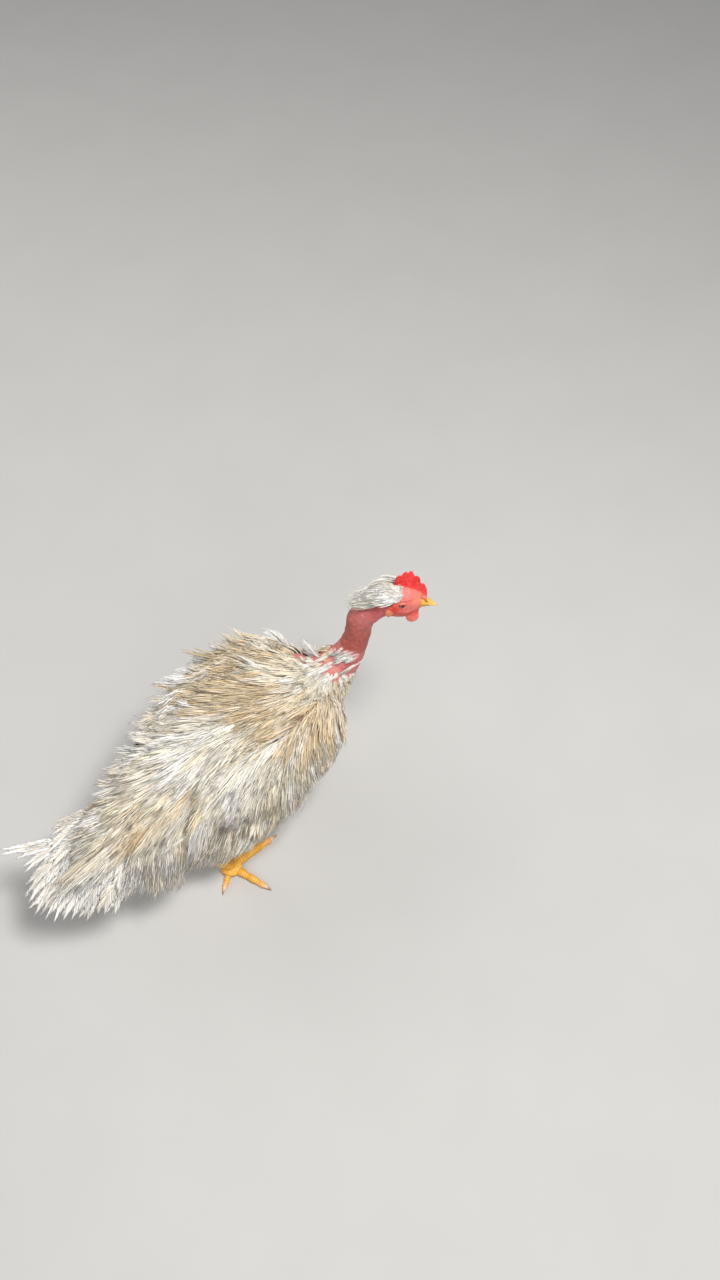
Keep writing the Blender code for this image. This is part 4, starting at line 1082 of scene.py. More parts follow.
def build_coat(ground, material):
    """Every group of feathers, each as its own piece of under 200,000 triangles."""
    verts = ground.verts
    head, thighs = part_of(verts)
    bare = bare_share(verts)
    hock = np.zeros(len(verts), bool)
    for side in LEGS:
        hock |= np.linalg.norm(verts - np.array(LEGS[side]["hock"]), axis=1) < 0.0125
    pieces = {}

    def group(name, mask, reach, seed, length, half, rise, **how):
        """A piece of feathers, a reach apart, where a mask allows; length and rise may be functions of the place."""
        p = verts[scatter(ground, reach * THINNING ** 0.5, mask & (bare < 0.5) & ~hock, seed)]
        count = len(p)
        length = (length(p) if callable(length) else length) * chance.uniform(0.80, 1.18, count)
        half = half * chance.uniform(0.80, 1.25, count)
        rise = (rise(p) if callable(rise) else rise) * chance.uniform(0.70, 1.30, count)
        pieces[name] = Coat()
        body_feathers(pieces[name], ground, p, length, half, rise, patches(p), **how)

    turn = torso_turn(verts)
    thigh = thighs["left"] | thighs["right"]
    body = ~head & ~thigh
    above = np.abs(turn + 4) < 62
    left = body & ~above & (turn > 0) & (turn < 125)
    right = body & ~above & (turn < 0) & (turn > -125)
    under = body & (np.abs(turn) >= 125)
    rump = verts[:, 0] < -0.075

    def coat_length(p):
        """Shorter towards the tail and the neck, round the bare patches, and on the left of the back."""
        x, y = p[:, 0], p[:, 1]
        length = np.interp(x, (-0.21, -0.19, -0.165, -0.12, -0.08, -0.03, 0.05, 0.10, 0.13),
                           (0.016, 0.024, 0.044, 0.058, 0.058, 0.054, 0.050, 0.042, 0.032))
        length = length * (1 + 0.30 * noise(p, 0.015, 33))
        neck_at, gap = on_neck(p)
        length = length * (1 - 0.52 * smooth(0.20, 0.38, neck_at) * (gap < 0.02))
        for place, reach in BARE:
            away = np.sum((p - place) ** 2, axis=1)
            length = length * (1 - 0.55 * np.exp(-away / (2 * (reach + 0.003) ** 2)))
        return length * (1 - 0.36 * smooth(0.05, -0.05, x) * smooth(-0.016, 0.016, y))

    def coat_rise(p):
        """Looser towards the neck, flatter on the left of the back, and uneven from place to place."""
        rise = np.interp(p[:, 0], (-0.12, -0.05, 0.05, 0.12), (0.17, 0.16, 0.19, 0.24))
        rise = rise * (1 - 0.78 * smooth(0.03, -0.05, p[:, 0]) * smooth(-0.005, 0.025, p[:, 1]))
        return rise * (1 + 0.45 * noise(p, 0.014, 31))

    def fluff(p):
        """The even rise of the short feathers of the belly, the thighs and the vent."""
        return np.interp(p[:, 0], (-0.12, -0.05, 0.05, 0.12), (0.16, 0.14, 0.15, 0.18))

    def cap_length(p):
        """Longer towards the back of the head."""
        return np.interp(to_head(p)[:, 0], (-0.022, -0.012, 0.0), (0.0270, 0.0250, 0.0180))

    hanging = body & (verts[:, 0] < -0.046) & (verts[:, 0] > -0.145) & (turn < -36) & (turn > -120)
    above &= ~hanging
    right &= ~hanging
    shoulders = verts[:, 0] >= 0.05
    behind = body & rump & ~hanging
    group("coat_back", body & above & ~rump & ~shoulders, 0.0042, 21, coat_length, 0.0056, coat_rise)
    group("coat_shoulders", body & above & shoulders, 0.0039, 22, coat_length, 0.0050, coat_rise, spread=0.15)
    group("coat_left", left & ~rump, 0.0056, 23, coat_length, 0.0060, coat_rise, spread=0.18)
    group("coat_right", right & ~rump, 0.0043, 24, coat_length, 0.0056, coat_rise, drop=0.12)
    group("coat_under", under & ~rump, 0.0072, 25, 0.040, 0.0064, fluff, drop=0.06, white=0.15)
    group("coat_rump", behind & (verts[:, 0] > -0.152) & (np.abs(turn) < 125), 0.0042, 26, coat_length, 0.0056,
          coat_rise, drop=0.24, spread=0.15)
    group("coat_hanging", hanging, 0.0041, 30, 0.082, 0.0056, 0.12, spread=0.12, white=0.10, hold=0.85, pull=0.05)
    group("coat_vent", behind & (np.abs(turn) >= 125), 0.0050, 27, 0.050, 0.0060, fluff, drop=0.35, white=0.2)
    for side, length in (("right", 0.046), ("left", 0.036)):
        group(f"coat_thigh_{side}", thighs[side], 0.0050, 28, length, 0.0050, fluff, drop=0.45, white=0.2)
    group("coat_cap", head, 0.0017, 29, cap_length, 0.0027, 0.34, each=11, white=0.45, drop=0.02, spread=0.22,
          wide=0.00026, blade=0.66, pull=0.28)
    add_tail(pieces, ground)
    add_wings(pieces, ground)
    add_curls(pieces, ground)
    add_wisps(pieces, ground)
    for name, coat in pieces.items():
        coat.make(name, material)


# Tips of the feathers of the tail, and of the loose ones that hang beside it, where the picture shows them from the
# left to the right, with their heights.
FAN = ((24, 892, 0.142), (25, 903, 0.138), (31, 911, 0.134), (40, 915, 0.130), (50, 917, 0.126), (61, 914, 0.124),
       (74, 920, 0.120), (88, 916, 0.118), (101, 916, 0.116), (113, 912, 0.115))
SKIRT = ((112, 908, 0.113), (120, 898, 0.111), (130, 891, 0.109), (142, 891, 0.106), (151, 898, 0.102),
         (160, 890, 0.101), (169, 887, 0.100), (178, 882, 0.100))


def row_tips(rows, share):
    """Places at shares of the way along rows of tips."""
    place = np.array([spot(*row) for row in rows])
    return np.stack([np.interp(share, np.linspace(0, 1, len(rows)), place[:, k]) for k in range(3)], -1)


def add_tail(pieces, ground):
    """The fan of the tail that hangs to the right, its coverts, two long feathers on the left, and a loose skirt."""
    tail = pieces.setdefault("tail_feathers", Coat())
    for level, (count, ahead, high, reach, half, each) in enumerate((
        (17, 0.000, 0.000, 1.00, 0.0078, 116),
        (15, 0.009, 0.006, 0.80, 0.0074, 92),
        (15, 0.016, 0.010, 0.63, 0.0070, 84),
        (13, 0.023, 0.013, 0.48, 0.0066, 76),
    )):
        share = np.linspace(0, 1, count) + chance.uniform(-0.02, 0.02, count)
        up = unit(np.stack([0 * share - 0.25, 0.10 - 0.75 * share, 1.0 - 0.45 * share], -1))
        root = np.stack([0.022 * share - 0.150, 0.014 - 0.038 * share, 0.186 - 0.010 * share ** 2], -1)
        stretch = (reach * chance.uniform(0.94, 1.05, count))[:, None]
        tip = root + (row_tips(FAN, share) - root) * stretch + up * 0.003 * level + chance.normal(0, 0.0012, (count, 3))
        points, ups = bent_lines(root + np.array((ahead, 0.0, high)), tip, up, 0.09)
        quills(tail, points, ups, np.full(count, half), patches(root), each=each, white=0.45, loose=0.4)
    # Under the tail, and on its far side.
    for count, back, height, spread, middle, slope, reach, half, facing in (
        (10, -0.1350, 0.1760, 26, -4, -0.60, 0.060, 0.0072, -1.0),
        (6, -0.1380, 0.1900, 12, 16, -0.30, 0.064, 0.0068, 1.0),
    ):
        share = np.linspace(-1, 1, count) + chance.uniform(-0.08, 0.08, count)
        yaw = np.radians(spread * share + middle)
        along = np.stack([-np.cos(yaw), np.sin(yaw), slope - 0.15 * share ** 2], -1)
        root = np.stack([back + 0 * share, 0.0005 * middle + 0.016 * share, height - 0.010 * share ** 2 * facing], -1)
        up = np.stack([0 * share, 0.5 * share, facing + 0 * share], -1)
        length = reach * chance.uniform(0.85, 1.10, count)
        points, ups = free_lines(root, along, up, length, 0.12, chance.uniform(-0.06, 0.06, count))
        quills(tail, points, ups, np.full(count, half), patches(root), each=64, white=0.40, loose=0.4)
    # Two long feathers on the left, and three shorter ones beside them: roots, tips in the picture, half widths.
    for roots, tips, halves, up, bulge, each in (
        (((-0.1640, 0.0060, 0.1800), (-0.1600, 0.0080, 0.1830)), ((1, 852, 0.140), (16, 856, 0.150)),
         (0.0060, 0.0064), (0.1, 0.2, 1.0), -0.02, 112),
        (((-0.1460, 0.0140, 0.1870), (-0.1420, 0.0150, 0.1900), (-0.1360, 0.0180, 0.1930)),
         ((24, 869, 0.150), (40, 866, 0.156), (47, 850, 0.166)), (0.0068, 0.0066, 0.0060), (0.0, 0.1, 1.0), 0.05, 96),
    ):
        root, tip = np.array(roots), np.array([spot(*row) for row in tips])
        points, ups = bent_lines(root, tip, np.tile(up, (len(root), 1)), bulge)
        quills(tail, points, ups, np.array(halves), patches(root), each=each, white=0.6)
    # Loose feathers that hang from the rump beside the tail.
    skirt = pieces.setdefault("coat_skirt", Coat())
    for level, (count, reach) in enumerate(((24, 1.0), (24, 0.88), (22, 0.76), (20, 0.64), (18, 0.52))):
        share = np.clip(np.linspace(0, 1, count) + chance.uniform(-0.025, 0.025, count), 0, 1)
        root = np.stack([0.040 * share - 0.130, -0.022 - 0.020 * share, 0.180 - 0.010 * share], -1)
        root, normal = ground.near(root + np.array((0.003, 0.002, 0.004)) * level)
        tip = row_tips(SKIRT, share) + chance.normal(0, 0.0024, (count, 3))
        tip = root + (tip - root) * reach + normal * 0.003 * level
        up = unit(normal + np.array((-0.1, -0.5, 0.3)))
        points, ups = bent_lines(root - normal * 0.002, tip, up, 0.13)
        length = np.linalg.norm(tip - root, axis=1)
        tufts(skirt, points, ups, root, length, np.full(count, 0.0062), patches(root), each=20, white=0.15, blade=0.8)


def add_curls(pieces, ground):
    """Loose feathers of the left shoulder and side that stand off the body and curl up at their tips."""
    coat = pieces["coat_left"]
    verts = ground.verts
    turn = torso_turn(verts)
    allowed = (turn > 10) & (turn < 66) & (verts[:, 0] > -0.110) & (verts[:, 0] < 0.092)
    chosen = scatter(ground, 0.0080, allowed, 35)
    p, normal = verts[chosen], ground.normal[chosen]
    many = len(p)
    stand = np.interp(p[:, 0], (-0.03, 0.02), (0.75, 1.15))
    stand = stand * chance.uniform(0.06, 0.32, many)
    along = lie(p, normal) + normal * stand[:, None] + chance.normal(0, 0.07, (many, 3))
    length = np.interp(p[:, 0], (-0.11, -0.02, 0.03, 0.09), (0.036, 0.040, 0.050, 0.048))
    length = length * chance.uniform(0.75, 1.15, many)
    points, ups = free_lines(p - normal * 0.002, along, normal, length, 0.08, chance.normal(0, 0.10, many), curl=0.16)
    points[..., 1] -= 0.5 * np.maximum(points[..., 1] - LEFT_HOLD, 0)
    tufts(coat, points, ups, p, length, 0.0050 * chance.uniform(0.7, 1.2, many), patches(p), each=11, white=0.30)


def add_wings(pieces, ground):
    """Flight feathers of the folded wings, under the coverts and out past them."""
    for side, sign in (("left", 1.0), ("right", -1.0)):
        coat = pieces.setdefault(f"wing_feathers_{side}", Coat())
        count = 13
        share = np.linspace(0, 1, count)
        x = 0.062 - 0.105 * share
        turn = np.radians(84.0 - 22 * share) * sign
        point, normal, _ = torso_frame(x, turn)
        root = point + normal * 0.0120
        length = np.interp(share, (0, 0.5, 1), (0.070, 0.086, 0.096)) * chance.uniform(0.92, 1.08, count)
        if side == "right":
            points, ups = march(ground, root, length, np.full(count, 0.13), hold=0.72,
                                spread=chance.normal(0, 0.05, count), steps=9, pull=0.30)
        else:
            way = np.stack([-1.0 + 0 * share, 0.16 * sign + 0 * share, -0.42 + 0.12 * share], -1)
            way = way - normal * dot(way, normal)
            points, ups = march(ground, root, length, np.full(count, 0.10), way=way, hold=0.8, drop=0.08, steps=9,
                                pull=0.30)
        quills(coat, points, ups, np.full(count, 0.0072), patches(root), each=84, white=0.30, loose=0.4, p=root)


def seen(ground, across, down):
    """The place on the skin that the picture shows at a place in it, and the normal there."""
    ray = np.array([spot(across, down, height) for height in np.linspace(0.33, 0.10, 220)])
    q, normal = ground.near(ray)
    touch = np.nonzero(np.linalg.norm(ray - q, axis=1) < 0.0022)[0]
    return (q[touch[0]], normal[touch[0]]) if len(touch) else None


def add_wisps(pieces, ground):
    """Single long feathers that stray over the bare foot of the neck and round the left shoulder."""
    coat = pieces["coat_shoulders"]
    # Where the picture shows the root, the way there: right and up, and the length, below 0 where one stands free.
    rows = (
        (317, 657, -0.80, 0.58, -0.046), (315, 655, -0.72, 0.66, -0.040), (319, 659, -0.86, 0.46, -0.042),
        (331, 657, 0.97, 0.16, 0.038), (336, 661, 0.97, 0.10, 0.034), (334, 667, 0.85, 0.36, 0.034),
        (329, 662, 0.90, 0.30, 0.040), (330, 662, -0.80, -0.50, 0.026),
        (324, 666, -0.72, -0.70, 0.030), (318, 664, -0.85, -0.50, 0.032), (314, 664, -0.90, -0.35, 0.030),
        (328, 670, -0.60, -0.80, 0.026), (334, 674, -0.75, -0.60, 0.030), (322, 672, -0.85, -0.45, 0.032),
    )
    place = [seen(ground, *row[:2]) for row in rows]
    rows = [row for row, at in zip(rows, place) if at]
    place = [at for at in place if at]
    root, normal = (np.array(side) for side in zip(*place))
    way = np.array([CAMERA_RIGHT * row[2] + CAMERA_UP * row[3] for row in rows])
    facing = np.minimum(normal @ CAMERA_FORWARD, -0.30)[:, None]
    way = unit(way - CAMERA_FORWARD * dot(way, normal) / facing)
    length = np.array([row[4] for row in rows])
    loose, length = length < 0, np.abs(length)
    many = len(rows)
    for _ in range(3):
        start = root + chance.normal(0, 0.0030, (many, 3)) - normal * 0.0035
        along = way + normal * chance.uniform(0.02, 0.20, (many, 1)) + chance.normal(0, 0.10, (many, 3))
        long = length * chance.uniform(0.60, 1.1, many)
        points, ups = free_lines(start, along, normal, long, 0.10, chance.uniform(-0.10, 0.10, many), steps=8)
        lying, over = march(ground, start, long, chance.uniform(0.04, 0.18, many), way=along, hold=0.9, drop=0.0,
                            steps=8, pull=0.5)
        points[:, ~loose], ups[:, ~loose] = lying[:, ~loose], over[:, ~loose]
        tufts(coat, points, ups, root, long, np.full(many, 0.0026), patches(root), each=6, white=0.6, wide=0.00036)


# Materials.


def set_inputs(node, values):
    """Gives a node's inputs constant values."""
    for name, value in values.items():
        node.inputs[name].default_value = value


def add_node(tree, kind, values=None, feeds=None):
    """A node of a shader's tree, with constant values and with links from other nodes' outputs."""
    node = tree.nodes.new("ShaderNode" + kind)
    set_inputs(node, values or {})
    for name, output in (feeds or {}).items():
        tree.links.new(output, node.inputs[name])
    return node


def new_material(name, roughness, bumps, mottle, values=None):
    """A procedural material that takes its markings from the surface and adds grain and bumps."""
    material = bpy.data.materials.new(name)
    material.use_nodes = True
    tree = material.node_tree
    shader = tree.nodes["Principled BSDF"]
    set_inputs(shader, values or {})
    tint = add_node(tree, "Attribute")
    tint.attribute_name = "tint"
    where = add_node(tree, "TexCoord").outputs["Object"]
    grain = add_node(tree, "TexNoise", {"Scale": 420.0, "Detail": 4.0}, {"Vector": where}).outputs["Fac"]
    light = add_node(tree, "MapRange", {"To Min": 1.0 - mottle, "To Max": 1.0 + mottle}, {"Value": grain})
    scale = add_node(tree, "VectorMath")
    scale.operation = "SCALE"
    tree.links.new(tint.outputs["Color"], scale.inputs[0])
    tree.links.new(light.outputs["Result"], scale.inputs["Scale"])
    tree.links.new(scale.outputs["Vector"], shader.inputs["Base Color"])
    rough = add_node(tree, "MapRange", {"To Min": max(roughness - 0.10, 0.02), "To Max": roughness + 0.10},
                     {"Value": grain})
    tree.links.new(rough.outputs["Result"], shader.inputs["Roughness"])
    feeds = {}
    for kind, size, distance in bumps:
        if kind == "cells":
            texture = add_node(tree, "TexVoronoi", {"Scale": size}, {"Vector": where})
            texture.feature = "F1"
            feeds["Height"] = texture.outputs["Distance"]
        else:
            texture = add_node(tree, "TexNoise", {"Scale": size, "Detail": 5.0}, {"Vector": where})
            feeds["Height"] = texture.outputs["Fac"]
        bump = add_node(tree, "Bump", {"Strength": 0.8, "Distance": distance}, feeds)
        bump.invert = kind == "cells"
        feeds["Normal"] = bump.outputs["Normal"]
    tree.links.new(feeds["Normal"], shader.inputs["Normal"])
    return material


# Beak, eyes, lids, legs and claws.


def loft_mesh(rings):
    """Vertices and triangles of a closed shell over rings."""
    solids = Solids()
    solids.loft(rings)
    return solids.verts[0], solids.faces[0]


def build_beak(material):
    """Both halves of the beak: a curved ridge, nostrils with their flaps, and a hooked tip."""
    # Each ring goes over the outside by an angle and back along the inside.
    sides = 40
    a = np.linspace(0, math.pi, sides)
    inner = np.linspace(-1, 1, 13)[1:-1]
    each = sides + len(inner)
    made = []
    for name, sign in (("beak_top", 1), ("beak_low", -1)):
        length = BEAK_LENGTH if sign > 0 else BEAK_LENGTH * 0.80
        rings, tints = [], []
        for v in np.linspace(0, 0.985, 60):
            width = 0.0072 * (1 - v) ** 0.60
            tall = (0.0082 if sign > 0 else 0.0048) * (1 - v) ** 0.72
            forward = BEAK_ROOT - 0.0010 + (length + 0.0010) * v
            edge = -0.0040 - (0.0052 * v * v if sign > 0 else 0.0)
            if sign < 0:
                edge -= math.tan(math.radians(BEAK_GAPE)) * length * v
            y = width * np.cos(a) * (1 - 0.10 * np.sin(a) ** 2)
            z = edge + sign * (tall * np.sin(a) ** (0.85 if sign > 0 else 1.0) + 0.0002)
            y2 = width * inner * 0.93
            z2 = edge + sign * (0.0009 * (1 - inner ** 2) + 0.0002)
            ring = np.stack([np.full(each, forward), np.concatenate([y, y2]), np.concatenate([z, z2])], -1)
            colour = blend(paint(206, 156, 66), paint(226, 192, 116), smooth(0.30, 1.0, v)) * np.ones((each, 1))
            ridge = smooth(0.80, 1.0, np.concatenate([np.sin(a), 0 * inner]))
            colour = blend(colour, paint(214, 178, 112) if sign > 0 else paint(232, 204, 150), ridge * 0.5)
            colour = blend(colour, paint(196, 118, 84), (smooth(0.20, 0.0, v) * 0.8) * np.ones(each))
            mouth = np.concatenate([0 * a, 0.9 + 0 * inner])
            colour = blend(colour, paint(120, 50, 44), mouth)
            if sign > 0:
                for middle, aside in ((0.66, 0.22), (math.pi - 0.66, -0.22)):
                    hole = np.exp(-(((v - 0.36) / 0.080) ** 2 + ((a - middle) / 0.14) ** 2))
                    flap = np.exp(-(((v - 0.33) / 0.11) ** 2 + ((a - middle - aside) / 0.12) ** 2))
                    push = 0.00035 * flap - 0.0009 * hole
                    outward = unit(np.stack([0 * a, np.cos(a), np.sin(a)], -1))
                    ring[:sides] += outward * push[:, None]
                    # Painted shade: the nostrils' hollows are painted dark brown.
                    colour[:sides] = blend(colour[:sides], paint(70, 36, 26), np.clip(hole * 1.15, 0, 0.95))
            rings.append(ring)
            tints.append(colour)
        verts, faces = loft_mesh(from_head(np.stack(rings)))
        tints = np.concatenate([np.concatenate(tints), tints[0][:1], tints[-1][:1]])
        streak = 1 + 0.05 * noise(verts, 0.0012, 12) + 0.05 * noise(verts, 0.004, 13)
        made.append(new_mesh(name, verts, faces, material, tints * streak[:, None]))
    return made


LID_SIDES = 72
# Rings of a lid: share of the way out from its edge, and height above the ball or the skin.
LID_RISES = (
    (0.0, -0.0006), (0.03, 0.0001), (0.10, 0.00050), (0.20, 0.00060), (0.32, 0.00042), (0.46, 0.00046),
    (0.60, 0.00030), (0.74, 0.00030), (0.88, 0.0000), (1.0, -0.0005),
)


def build_eyes(wet, soft):
    """Eyeballs with an amber iris and a dark pupil, and lids of soft skin with a narrow gap between them."""
    made = []
    for side, sign in (("left", 1), ("right", -1)):
        middle = np.array(EYE_PLACE) * (1, sign, 1)
        out = unit(np.array((0.10, sign, 0.05)))
        fore = unit(np.array((1.0, 0.0, 0.0)) - out * out[0])
        top = np.cross(out, fore) * sign
        top = top if top[2] > 0 else -top
        # The ball: rings round the line of sight, with a slight bulge over the iris.
        a = np.concatenate([np.linspace(0.02, 0.9, 30), np.linspace(0.95, math.pi - 0.05, 26)])
        b = circle(48)
        bulge = 1 + 0.05 * smooth(0.75, 0.10, a)
        round_a = np.sin(a)[:, None]
        flat = np.stack([round_a * np.cos(b), round_a * np.sin(b), np.cos(a)[:, None] + 0 * b], -1)
        ball = flat[..., :1] * fore + flat[..., 1:2] * top + flat[..., 2:] * out
        ball = ball * (EYE_RADIUS * bulge)[:, None, None] + middle
        ring = a[:, None] + 0 * b
        iris = blend(paint(140, 66, 22), paint(180, 98, 36), 0.5 + 0.5 * np.sin(b * 17)[None] * np.ones_like(ring))
        colour = blend(iris, paint(88, 40, 16), smooth(0.52, 0.70, ring))
        colour = blend(colour, paint(30, 18, 14), smooth(0.74, 0.84, ring))
        colour = blend(colour, paint(6, 5, 5), smooth(0.42, 0.36, ring))
        verts, faces = loft_mesh(from_head(ball))
        tints = np.concatenate([colour.reshape(-1, 3), colour[0, :1], colour[-1, :1]])
        made.append((new_mesh(f"eyeball_{side}", verts, faces, wet, tints), f"eye_{side}"))
        # The lids: rings from inside the opening, over its lip, out to the socket's rim.
        phi = circle(LID_SIDES)
        wide, high, low = 0.0038, 0.0018, 0.0020
        gap_x = wide * np.cos(phi)
        gap_z = np.where(np.sin(phi) > 0, high, low) * np.sign(np.sin(phi)) * np.abs(np.sin(phi)) ** 1.25
        rim_x, rim_z = 0.0060 * np.cos(phi), 0.0056 * np.sin(phi)
        rings, tints = [], []
        for t, raised in LID_RISES:
            x, z = gap_x + (rim_x - gap_x) * t, gap_z + (rim_z - gap_z) * t
            near = np.minimum(np.hypot(x, z), EYE_RADIUS * 0.98)
            ball_high = np.sqrt(EYE_RADIUS ** 2 - near ** 2)
            skin_high = 0.0034 - 0.05 * (x * x + z * z) / 0.006
            height = ball_high * (1 - smooth(0.35, 0.95, t)) + skin_high * smooth(0.35, 0.95, t) + raised
            crease = (0.00012 * np.sin(phi * 21 + t * 30) + 0.00016 * math.sin(t * 22)) * smooth(0.15, 0.4, t) * (1 - t)
            rings.append(middle + fore * x[:, None] + top * z[:, None] + out * (height + crease)[:, None])
            # Painted shade: the lids are darker towards their edge at the opening, where they meet the ball.
            lip = blend(paint(184, 88, 70), paint(226, 112, 98), smooth(0.05, 0.55, t)) * np.ones((LID_SIDES, 1))
            tints.append(blend(lip, paint(120, 56, 48), (smooth(0.06, 0.0, t) * 0.8) * np.ones(LID_SIDES)))
        i = np.arange(LID_SIDES)
        j = (i + 1) % LID_SIDES
        quad = np.stack([i, j, LID_SIDES + j, LID_SIDES + i], 1)
        faces = np.concatenate([quad + r * LID_SIDES for r in range(len(rings) - 1)])
        if sign > 0:
            faces = faces[:, ::-1]
        verts = from_head(np.concatenate(rings))
        made.append((new_mesh(f"lids_{side}", verts, faces, soft, np.concatenate(tints)), None))
    return made


def toe_radius(radius, length, reach):
    """The toe's radius at a reach along it: it tapers and swells over three joints."""
    share = np.clip(reach, 0, None) / length
    return radius * (1.0 - 0.34 * share) * (1.0 + 0.09 * np.cos(share * math.pi * 6))


def build_legs(scaly, horn):
    """Shanks with their spurs, and feet with scales, as one mesh a side, and the claws as another."""
    made = []
    for side, sign in (("left", 1), ("right", -1)):
        spec = LEGS[side]
        hock, foot, end = (np.array(v) for v in (spec["hock"], spec["foot"], spec["thigh"][2]))
        solids = Solids()
        share = np.linspace(0, 1, 40)
        line = hock + (foot - hock) * share[:, None]
        radius = np.interp(share, (0, 0.12, 0.3, 0.55, 0.85, 1.0),
                           (0.0080, 0.0068, SHANK_RADIUS, SHANK_RADIUS * 0.94, SHANK_RADIUS * 1.08, 0.0066))
        solids.tube(line, radius, 28)
        leave = unit(hock - end)
        solids.tube(np.stack([end - leave * 0.004, end + leave * 0.002, hock]), (0.0088, 0.0088, 0.0080), 24)
        solids.egg(hock, (0.0090, 0.0084, 0.0092))
        solids.egg(np.array((foot[0], foot[1], 0.0060)), (PAD_RADIUS, PAD_RADIUS, 0.0060))
        spur = hock + (foot - hock) * 0.68
        way = unit(np.array((-0.6, -0.8 * sign, 0.05)))
        solids.tube(spur + way * np.linspace(0.0, 0.0085, 8)[:, None],
                    (0.0030, 0.0029, 0.0027, 0.0024, 0.0020, 0.0015, 0.0009, 0.0003), 14)
        toes = {}
        for toe, turn in spec["toes"].items():
            length, size = TOES[toe][0], TOES[toe][1] * TOE_STOUT
            heading = np.array((math.cos(math.radians(turn)), math.sin(math.radians(turn)), 0.0))
            reach = np.linspace(0.0, length + 0.0008, 44)
            around = toe_radius(size, length, reach)
            around[-1] *= 0.72
            middle = np.array((foot[0], foot[1], 0.0)) + heading * reach[:, None]
            middle[:, 2] = around * 0.86 + 0.0040 * smooth(0.012, 0.0, reach)
            solids.tube(middle, around, 24)
            toes[toe] = (heading, length, size)
        verts, faces = solids.union(LEG_VOXEL, 3)
        verts[:, 2] = np.maximum(verts[:, 2], 0.00005)
        verts, tint = scale_leg(verts, faces, hock, foot, toes)
        verts[:, 2] = np.maximum(verts[:, 2], 0.00002)
        obj = new_mesh(f"leg_{side}", verts, faces, scaly, tint)
        made.append((obj, [f"shank_{side}"] + [f"toe_{toe}_{side}" for toe in toes], "leg_scale"))
        claws = Solids()
        for heading, length, size in toes.values():
            base = float(toe_radius(size, length, length))
            root = np.array((foot[0], foot[1], base * 0.86)) + heading * (length - 0.0010)
            s = np.linspace(0, 0.99, 20)
            middle = root + heading * ((CLAW_LENGTH + 0.0010) * s)[:, None]
            thick = base * 0.80 * (1 - s) ** 0.72
            middle[:, 2] += 0.0012 * np.sin(math.pi * s) - (base * 0.86 - 0.0012) * s ** 1.8
            middle[:, 2] = np.maximum(middle[:, 2], thick * 0.95 + 0.0003)
            claws.tube(middle, thick, 16)
        cv, cf = np.concatenate(claws.verts), np.concatenate(claws.faces)
        points = [foot[:2] + heading[:2] * (length + CLAW_LENGTH) for heading, length, _ in toes.values()]
        tip = np.min([np.linalg.norm(cv[:, :2] - point, axis=1) for point in points], axis=0)
        colour = blend(paint(150, 112, 76), paint(222, 190, 150), smooth(0.001, 0.009, tip))
        obj = new_mesh(f"claws_{side}", cv, cf, horn, colour * (1 + 0.05 * noise(cv, 0.001, 15))[:, None])
        made.append((obj, [f"claw_{toe}_{side}" for toe in toes], "claw_horn"))
    return made


def scale_leg(verts, faces, hock, foot, toes):
    """Raises the plates on the front of the shank and on top of the toes, and colours the whole foot."""
    normal = mesh_normals(verts, faces)
    axis = unit(foot - hock)
    reach = np.linalg.norm(foot - hock)
    t = (verts - hock) @ axis
    off = np.linalg.norm(verts - hock - t[:, None] * axis, axis=1)
    shank = (1 - smooth(0.0095, 0.0115, off)) * smooth(0.004, 0.010, t) * smooth(reach + 0.002, reach - 0.006, t)
    front = unit(np.array((1.0, 0.0, 0.0)) - axis * axis[0])
    facing = smooth(0.05, 0.45, normal @ front)
    plate = (t / 0.0034) % 1.0
    plates = shank * facing
    for heading, length, _ in toes.values():
        rel = verts - (foot[0], foot[1], 0.0)
        d = rel @ heading
        aside = np.linalg.norm(rel - d[:, None] * heading - (0, 0, 0.004), axis=1)
        here = (aside < 0.0075) & (d > 0.010) & (d < length + 0.002)
        top = smooth(0.15, 0.55, normal[:, 2])
        plate = np.where(here, (d / 0.0030) % 1.0, plate)
        plates = np.where(here, top, plates)
    ridge = smooth(0.0, 0.22, plate) * (1 - 0.55 * smooth(0.22, 1.0, plate))
    net = noise(verts, 0.0016, 20)
    push = plates * (ridge - 0.45) * 0.00050 + (1 - plates) * net * 0.00012
    verts = verts + normal * push[:, None]
    wear = 0.5 + 0.5 * noise(verts, 0.006, 21)
    colour = blend(paint(222, 158, 44), paint(234, 180, 74), wear)
    # Painted shade: faces that turn downwards are painted a deeper orange.
    colour = blend(colour, paint(206, 136, 44), smooth(0.3, -0.9, normal[:, 2]) * 0.6)
    groove = plates * smooth(0.20, 0.0, np.minimum(plate, 1 - plate))
    colour = blend(colour, paint(150, 96, 38), groove * 0.7)
    colour = blend(colour, paint(196, 138, 66), (1 - plates) * smooth(0.1, 0.8, np.abs(net)) * 0.45)
    tips = []
    for heading, length, _ in toes.values():
        rel = verts - (foot[0], foot[1], 0.004)
        beside = np.linalg.norm(np.cross(rel, heading), axis=1) < 0.009
        tips.append(smooth(0.76, 1.02, (rel @ heading) / length) * beside)
    colour = blend(colour, paint(226, 164, 122), np.max(tips, axis=0) * 0.7)
    colour = blend(colour, paint(228, 196, 150), smooth(0.010, -0.004, t) * 0.5)
    return verts, colour


# Floor, light and camera.

FLOOR_HALF = 3.0
AIM = (0.0, 0.0, 0.15)

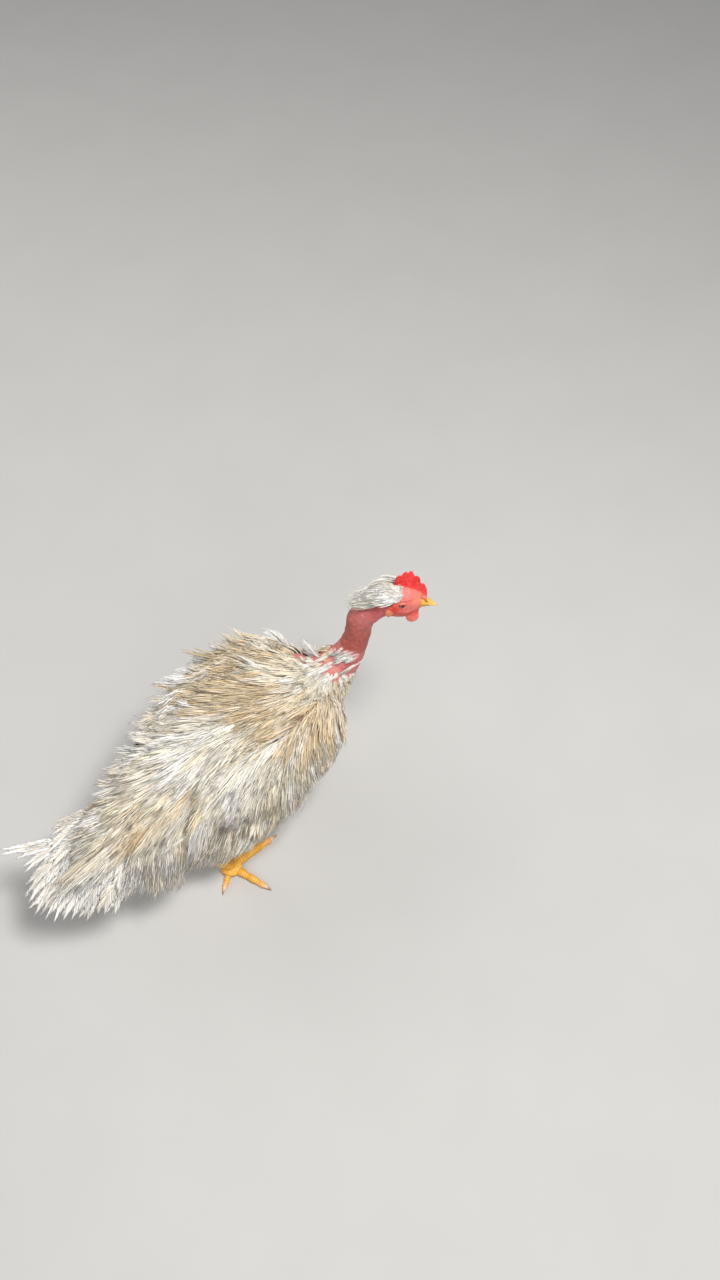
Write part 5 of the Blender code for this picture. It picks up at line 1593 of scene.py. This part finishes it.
def build_stage():
    """A plain floor, three soft lights, a dim sky and the camera."""
    verts = np.array([(x, y, 0.0) for x in (-FLOOR_HALF, FLOOR_HALF) for y in (-FLOOR_HALF, FLOOR_HALF)]) - SHIFT
    floor = new_mesh("floor", verts, np.array([(0, 2, 3, 1)]))
    material = bpy.data.materials.new("floor")
    material.use_nodes = True
    tree = material.node_tree
    shader = tree.nodes["Principled BSDF"]
    where = add_node(tree, "TexCoord").outputs["Object"]
    grain = add_node(tree, "TexNoise", {"Scale": 9.0}, {"Vector": where}).outputs["Fac"]
    tone = add_node(tree, "ValToRGB", feeds={"Fac": grain})
    tone.color_ramp.elements[0].color = (0.44, 0.435, 0.425, 1)
    tone.color_ramp.elements[1].color = (0.47, 0.465, 0.455, 1)
    tree.links.new(tone.outputs["Color"], shader.inputs["Base Color"])
    shader.inputs["Roughness"].default_value = 0.9
    floor.data.materials.append(material)
    for name, place, size, energy in (
        ("key", (0.30, -0.60, 2.05), 0.42, 46.0),
        ("fill", (-1.0, -1.3, 1.3), 1.2, 9.0),
        ("back", (-0.6, 1.5, 1.2), 1.4, 14.0),
    ):
        light = bpy.data.lights.new(name, "AREA")
        light.size = size
        light.energy = energy
        light.color = (1.0, 0.98, 0.95)
        obj = bpy.data.objects.new(name, light)
        bpy.context.scene.collection.objects.link(obj)
        obj.location = place
        obj.rotation_euler = (Vector(AIM) - Vector(place)).to_track_quat("-Z", "Y").to_euler()
    world = bpy.data.worlds.new("studio")
    world.use_nodes = True
    set_inputs(world.node_tree.nodes["Background"], {"Color": (0.95, 0.97, 1.0, 1.0), "Strength": 0.33})
    bpy.context.scene.world = world
    bpy.context.scene.view_settings.view_transform = "Standard"
    camera = bpy.data.cameras.new("camera")
    camera.sensor_width = 36.0
    camera.lens = FOCAL * camera.sensor_width / PICTURE[1]
    camera.clip_start = 0.01
    obj = bpy.data.objects.new("camera", camera)
    bpy.context.scene.collection.objects.link(obj)
    turn = Matrix((CAMERA_RIGHT, CAMERA_UP, -CAMERA_FORWARD)).transposed()
    obj.matrix_world = Matrix.Translation(EYE_POINT) @ turn.to_4x4()
    bpy.context.scene.camera = obj


def main():
    """Builds every piece, the floor, the lights and the camera, hangs each piece from the root and hides the parts of
    model.glb that it replaces.
    """
    flesh = {"Subsurface Radius": (1.0, 0.35, 0.2), "Subsurface Scale": 0.0025}
    down = {"Specular IOR Level": 0.3, "Sheen Weight": 0.20, "Sheen Roughness": 0.6}
    skin_look = new_material("skin_look", 0.50, (("cells", 620.0, 0.00030), ("noise", 900.0, 0.00025)), 0.10,
                             {"Subsurface Weight": 0.10, **flesh})
    coat_look = new_material("coat_look", 0.62, (("noise", 1400.0, 0.00025),), 0.10, down)
    horn_look = new_material("horn_look", 0.36, (("noise", 700.0, 0.00012),), 0.06,
                             {"Subsurface Weight": 0.05, **flesh})
    scale_look = new_material("scale_look", 0.46, (("cells", 760.0, 0.00022), ("noise", 1200.0, 0.00010)), 0.09)
    eye_look = new_material("eye_look", 0.12, (("noise", 300.0, 0.00002),), 0.03,
                            {"Coat Weight": 1.0, "Coat Roughness": 0.05})

    verts, faces, coarse = build_skin()
    skin = new_mesh("skin", verts, faces, skin_look, skin_tint(verts))
    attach(skin, "root")
    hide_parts("torso", "neck", "head", "comb", "tail", *(f"{part}_{side}" for side in LEGS
                for part in ("wattle", "earlobe", "wing", "thigh")))
    for obj, node in zip(build_beak(horn_look), ("beak_upper", "beak_lower")):
        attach(obj, "root")
        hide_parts(node)
    for obj, node in build_eyes(eye_look, skin_look):
        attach(obj, "root")
        if node:
            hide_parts(node)
    for obj, nodes, slot in build_legs(scale_look, horn_look):
        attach(obj, "root")
        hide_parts(*nodes)
    ground = Ground(*coarse)
    build_coat(ground, coat_look)
    build_stage()
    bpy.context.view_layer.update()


main()
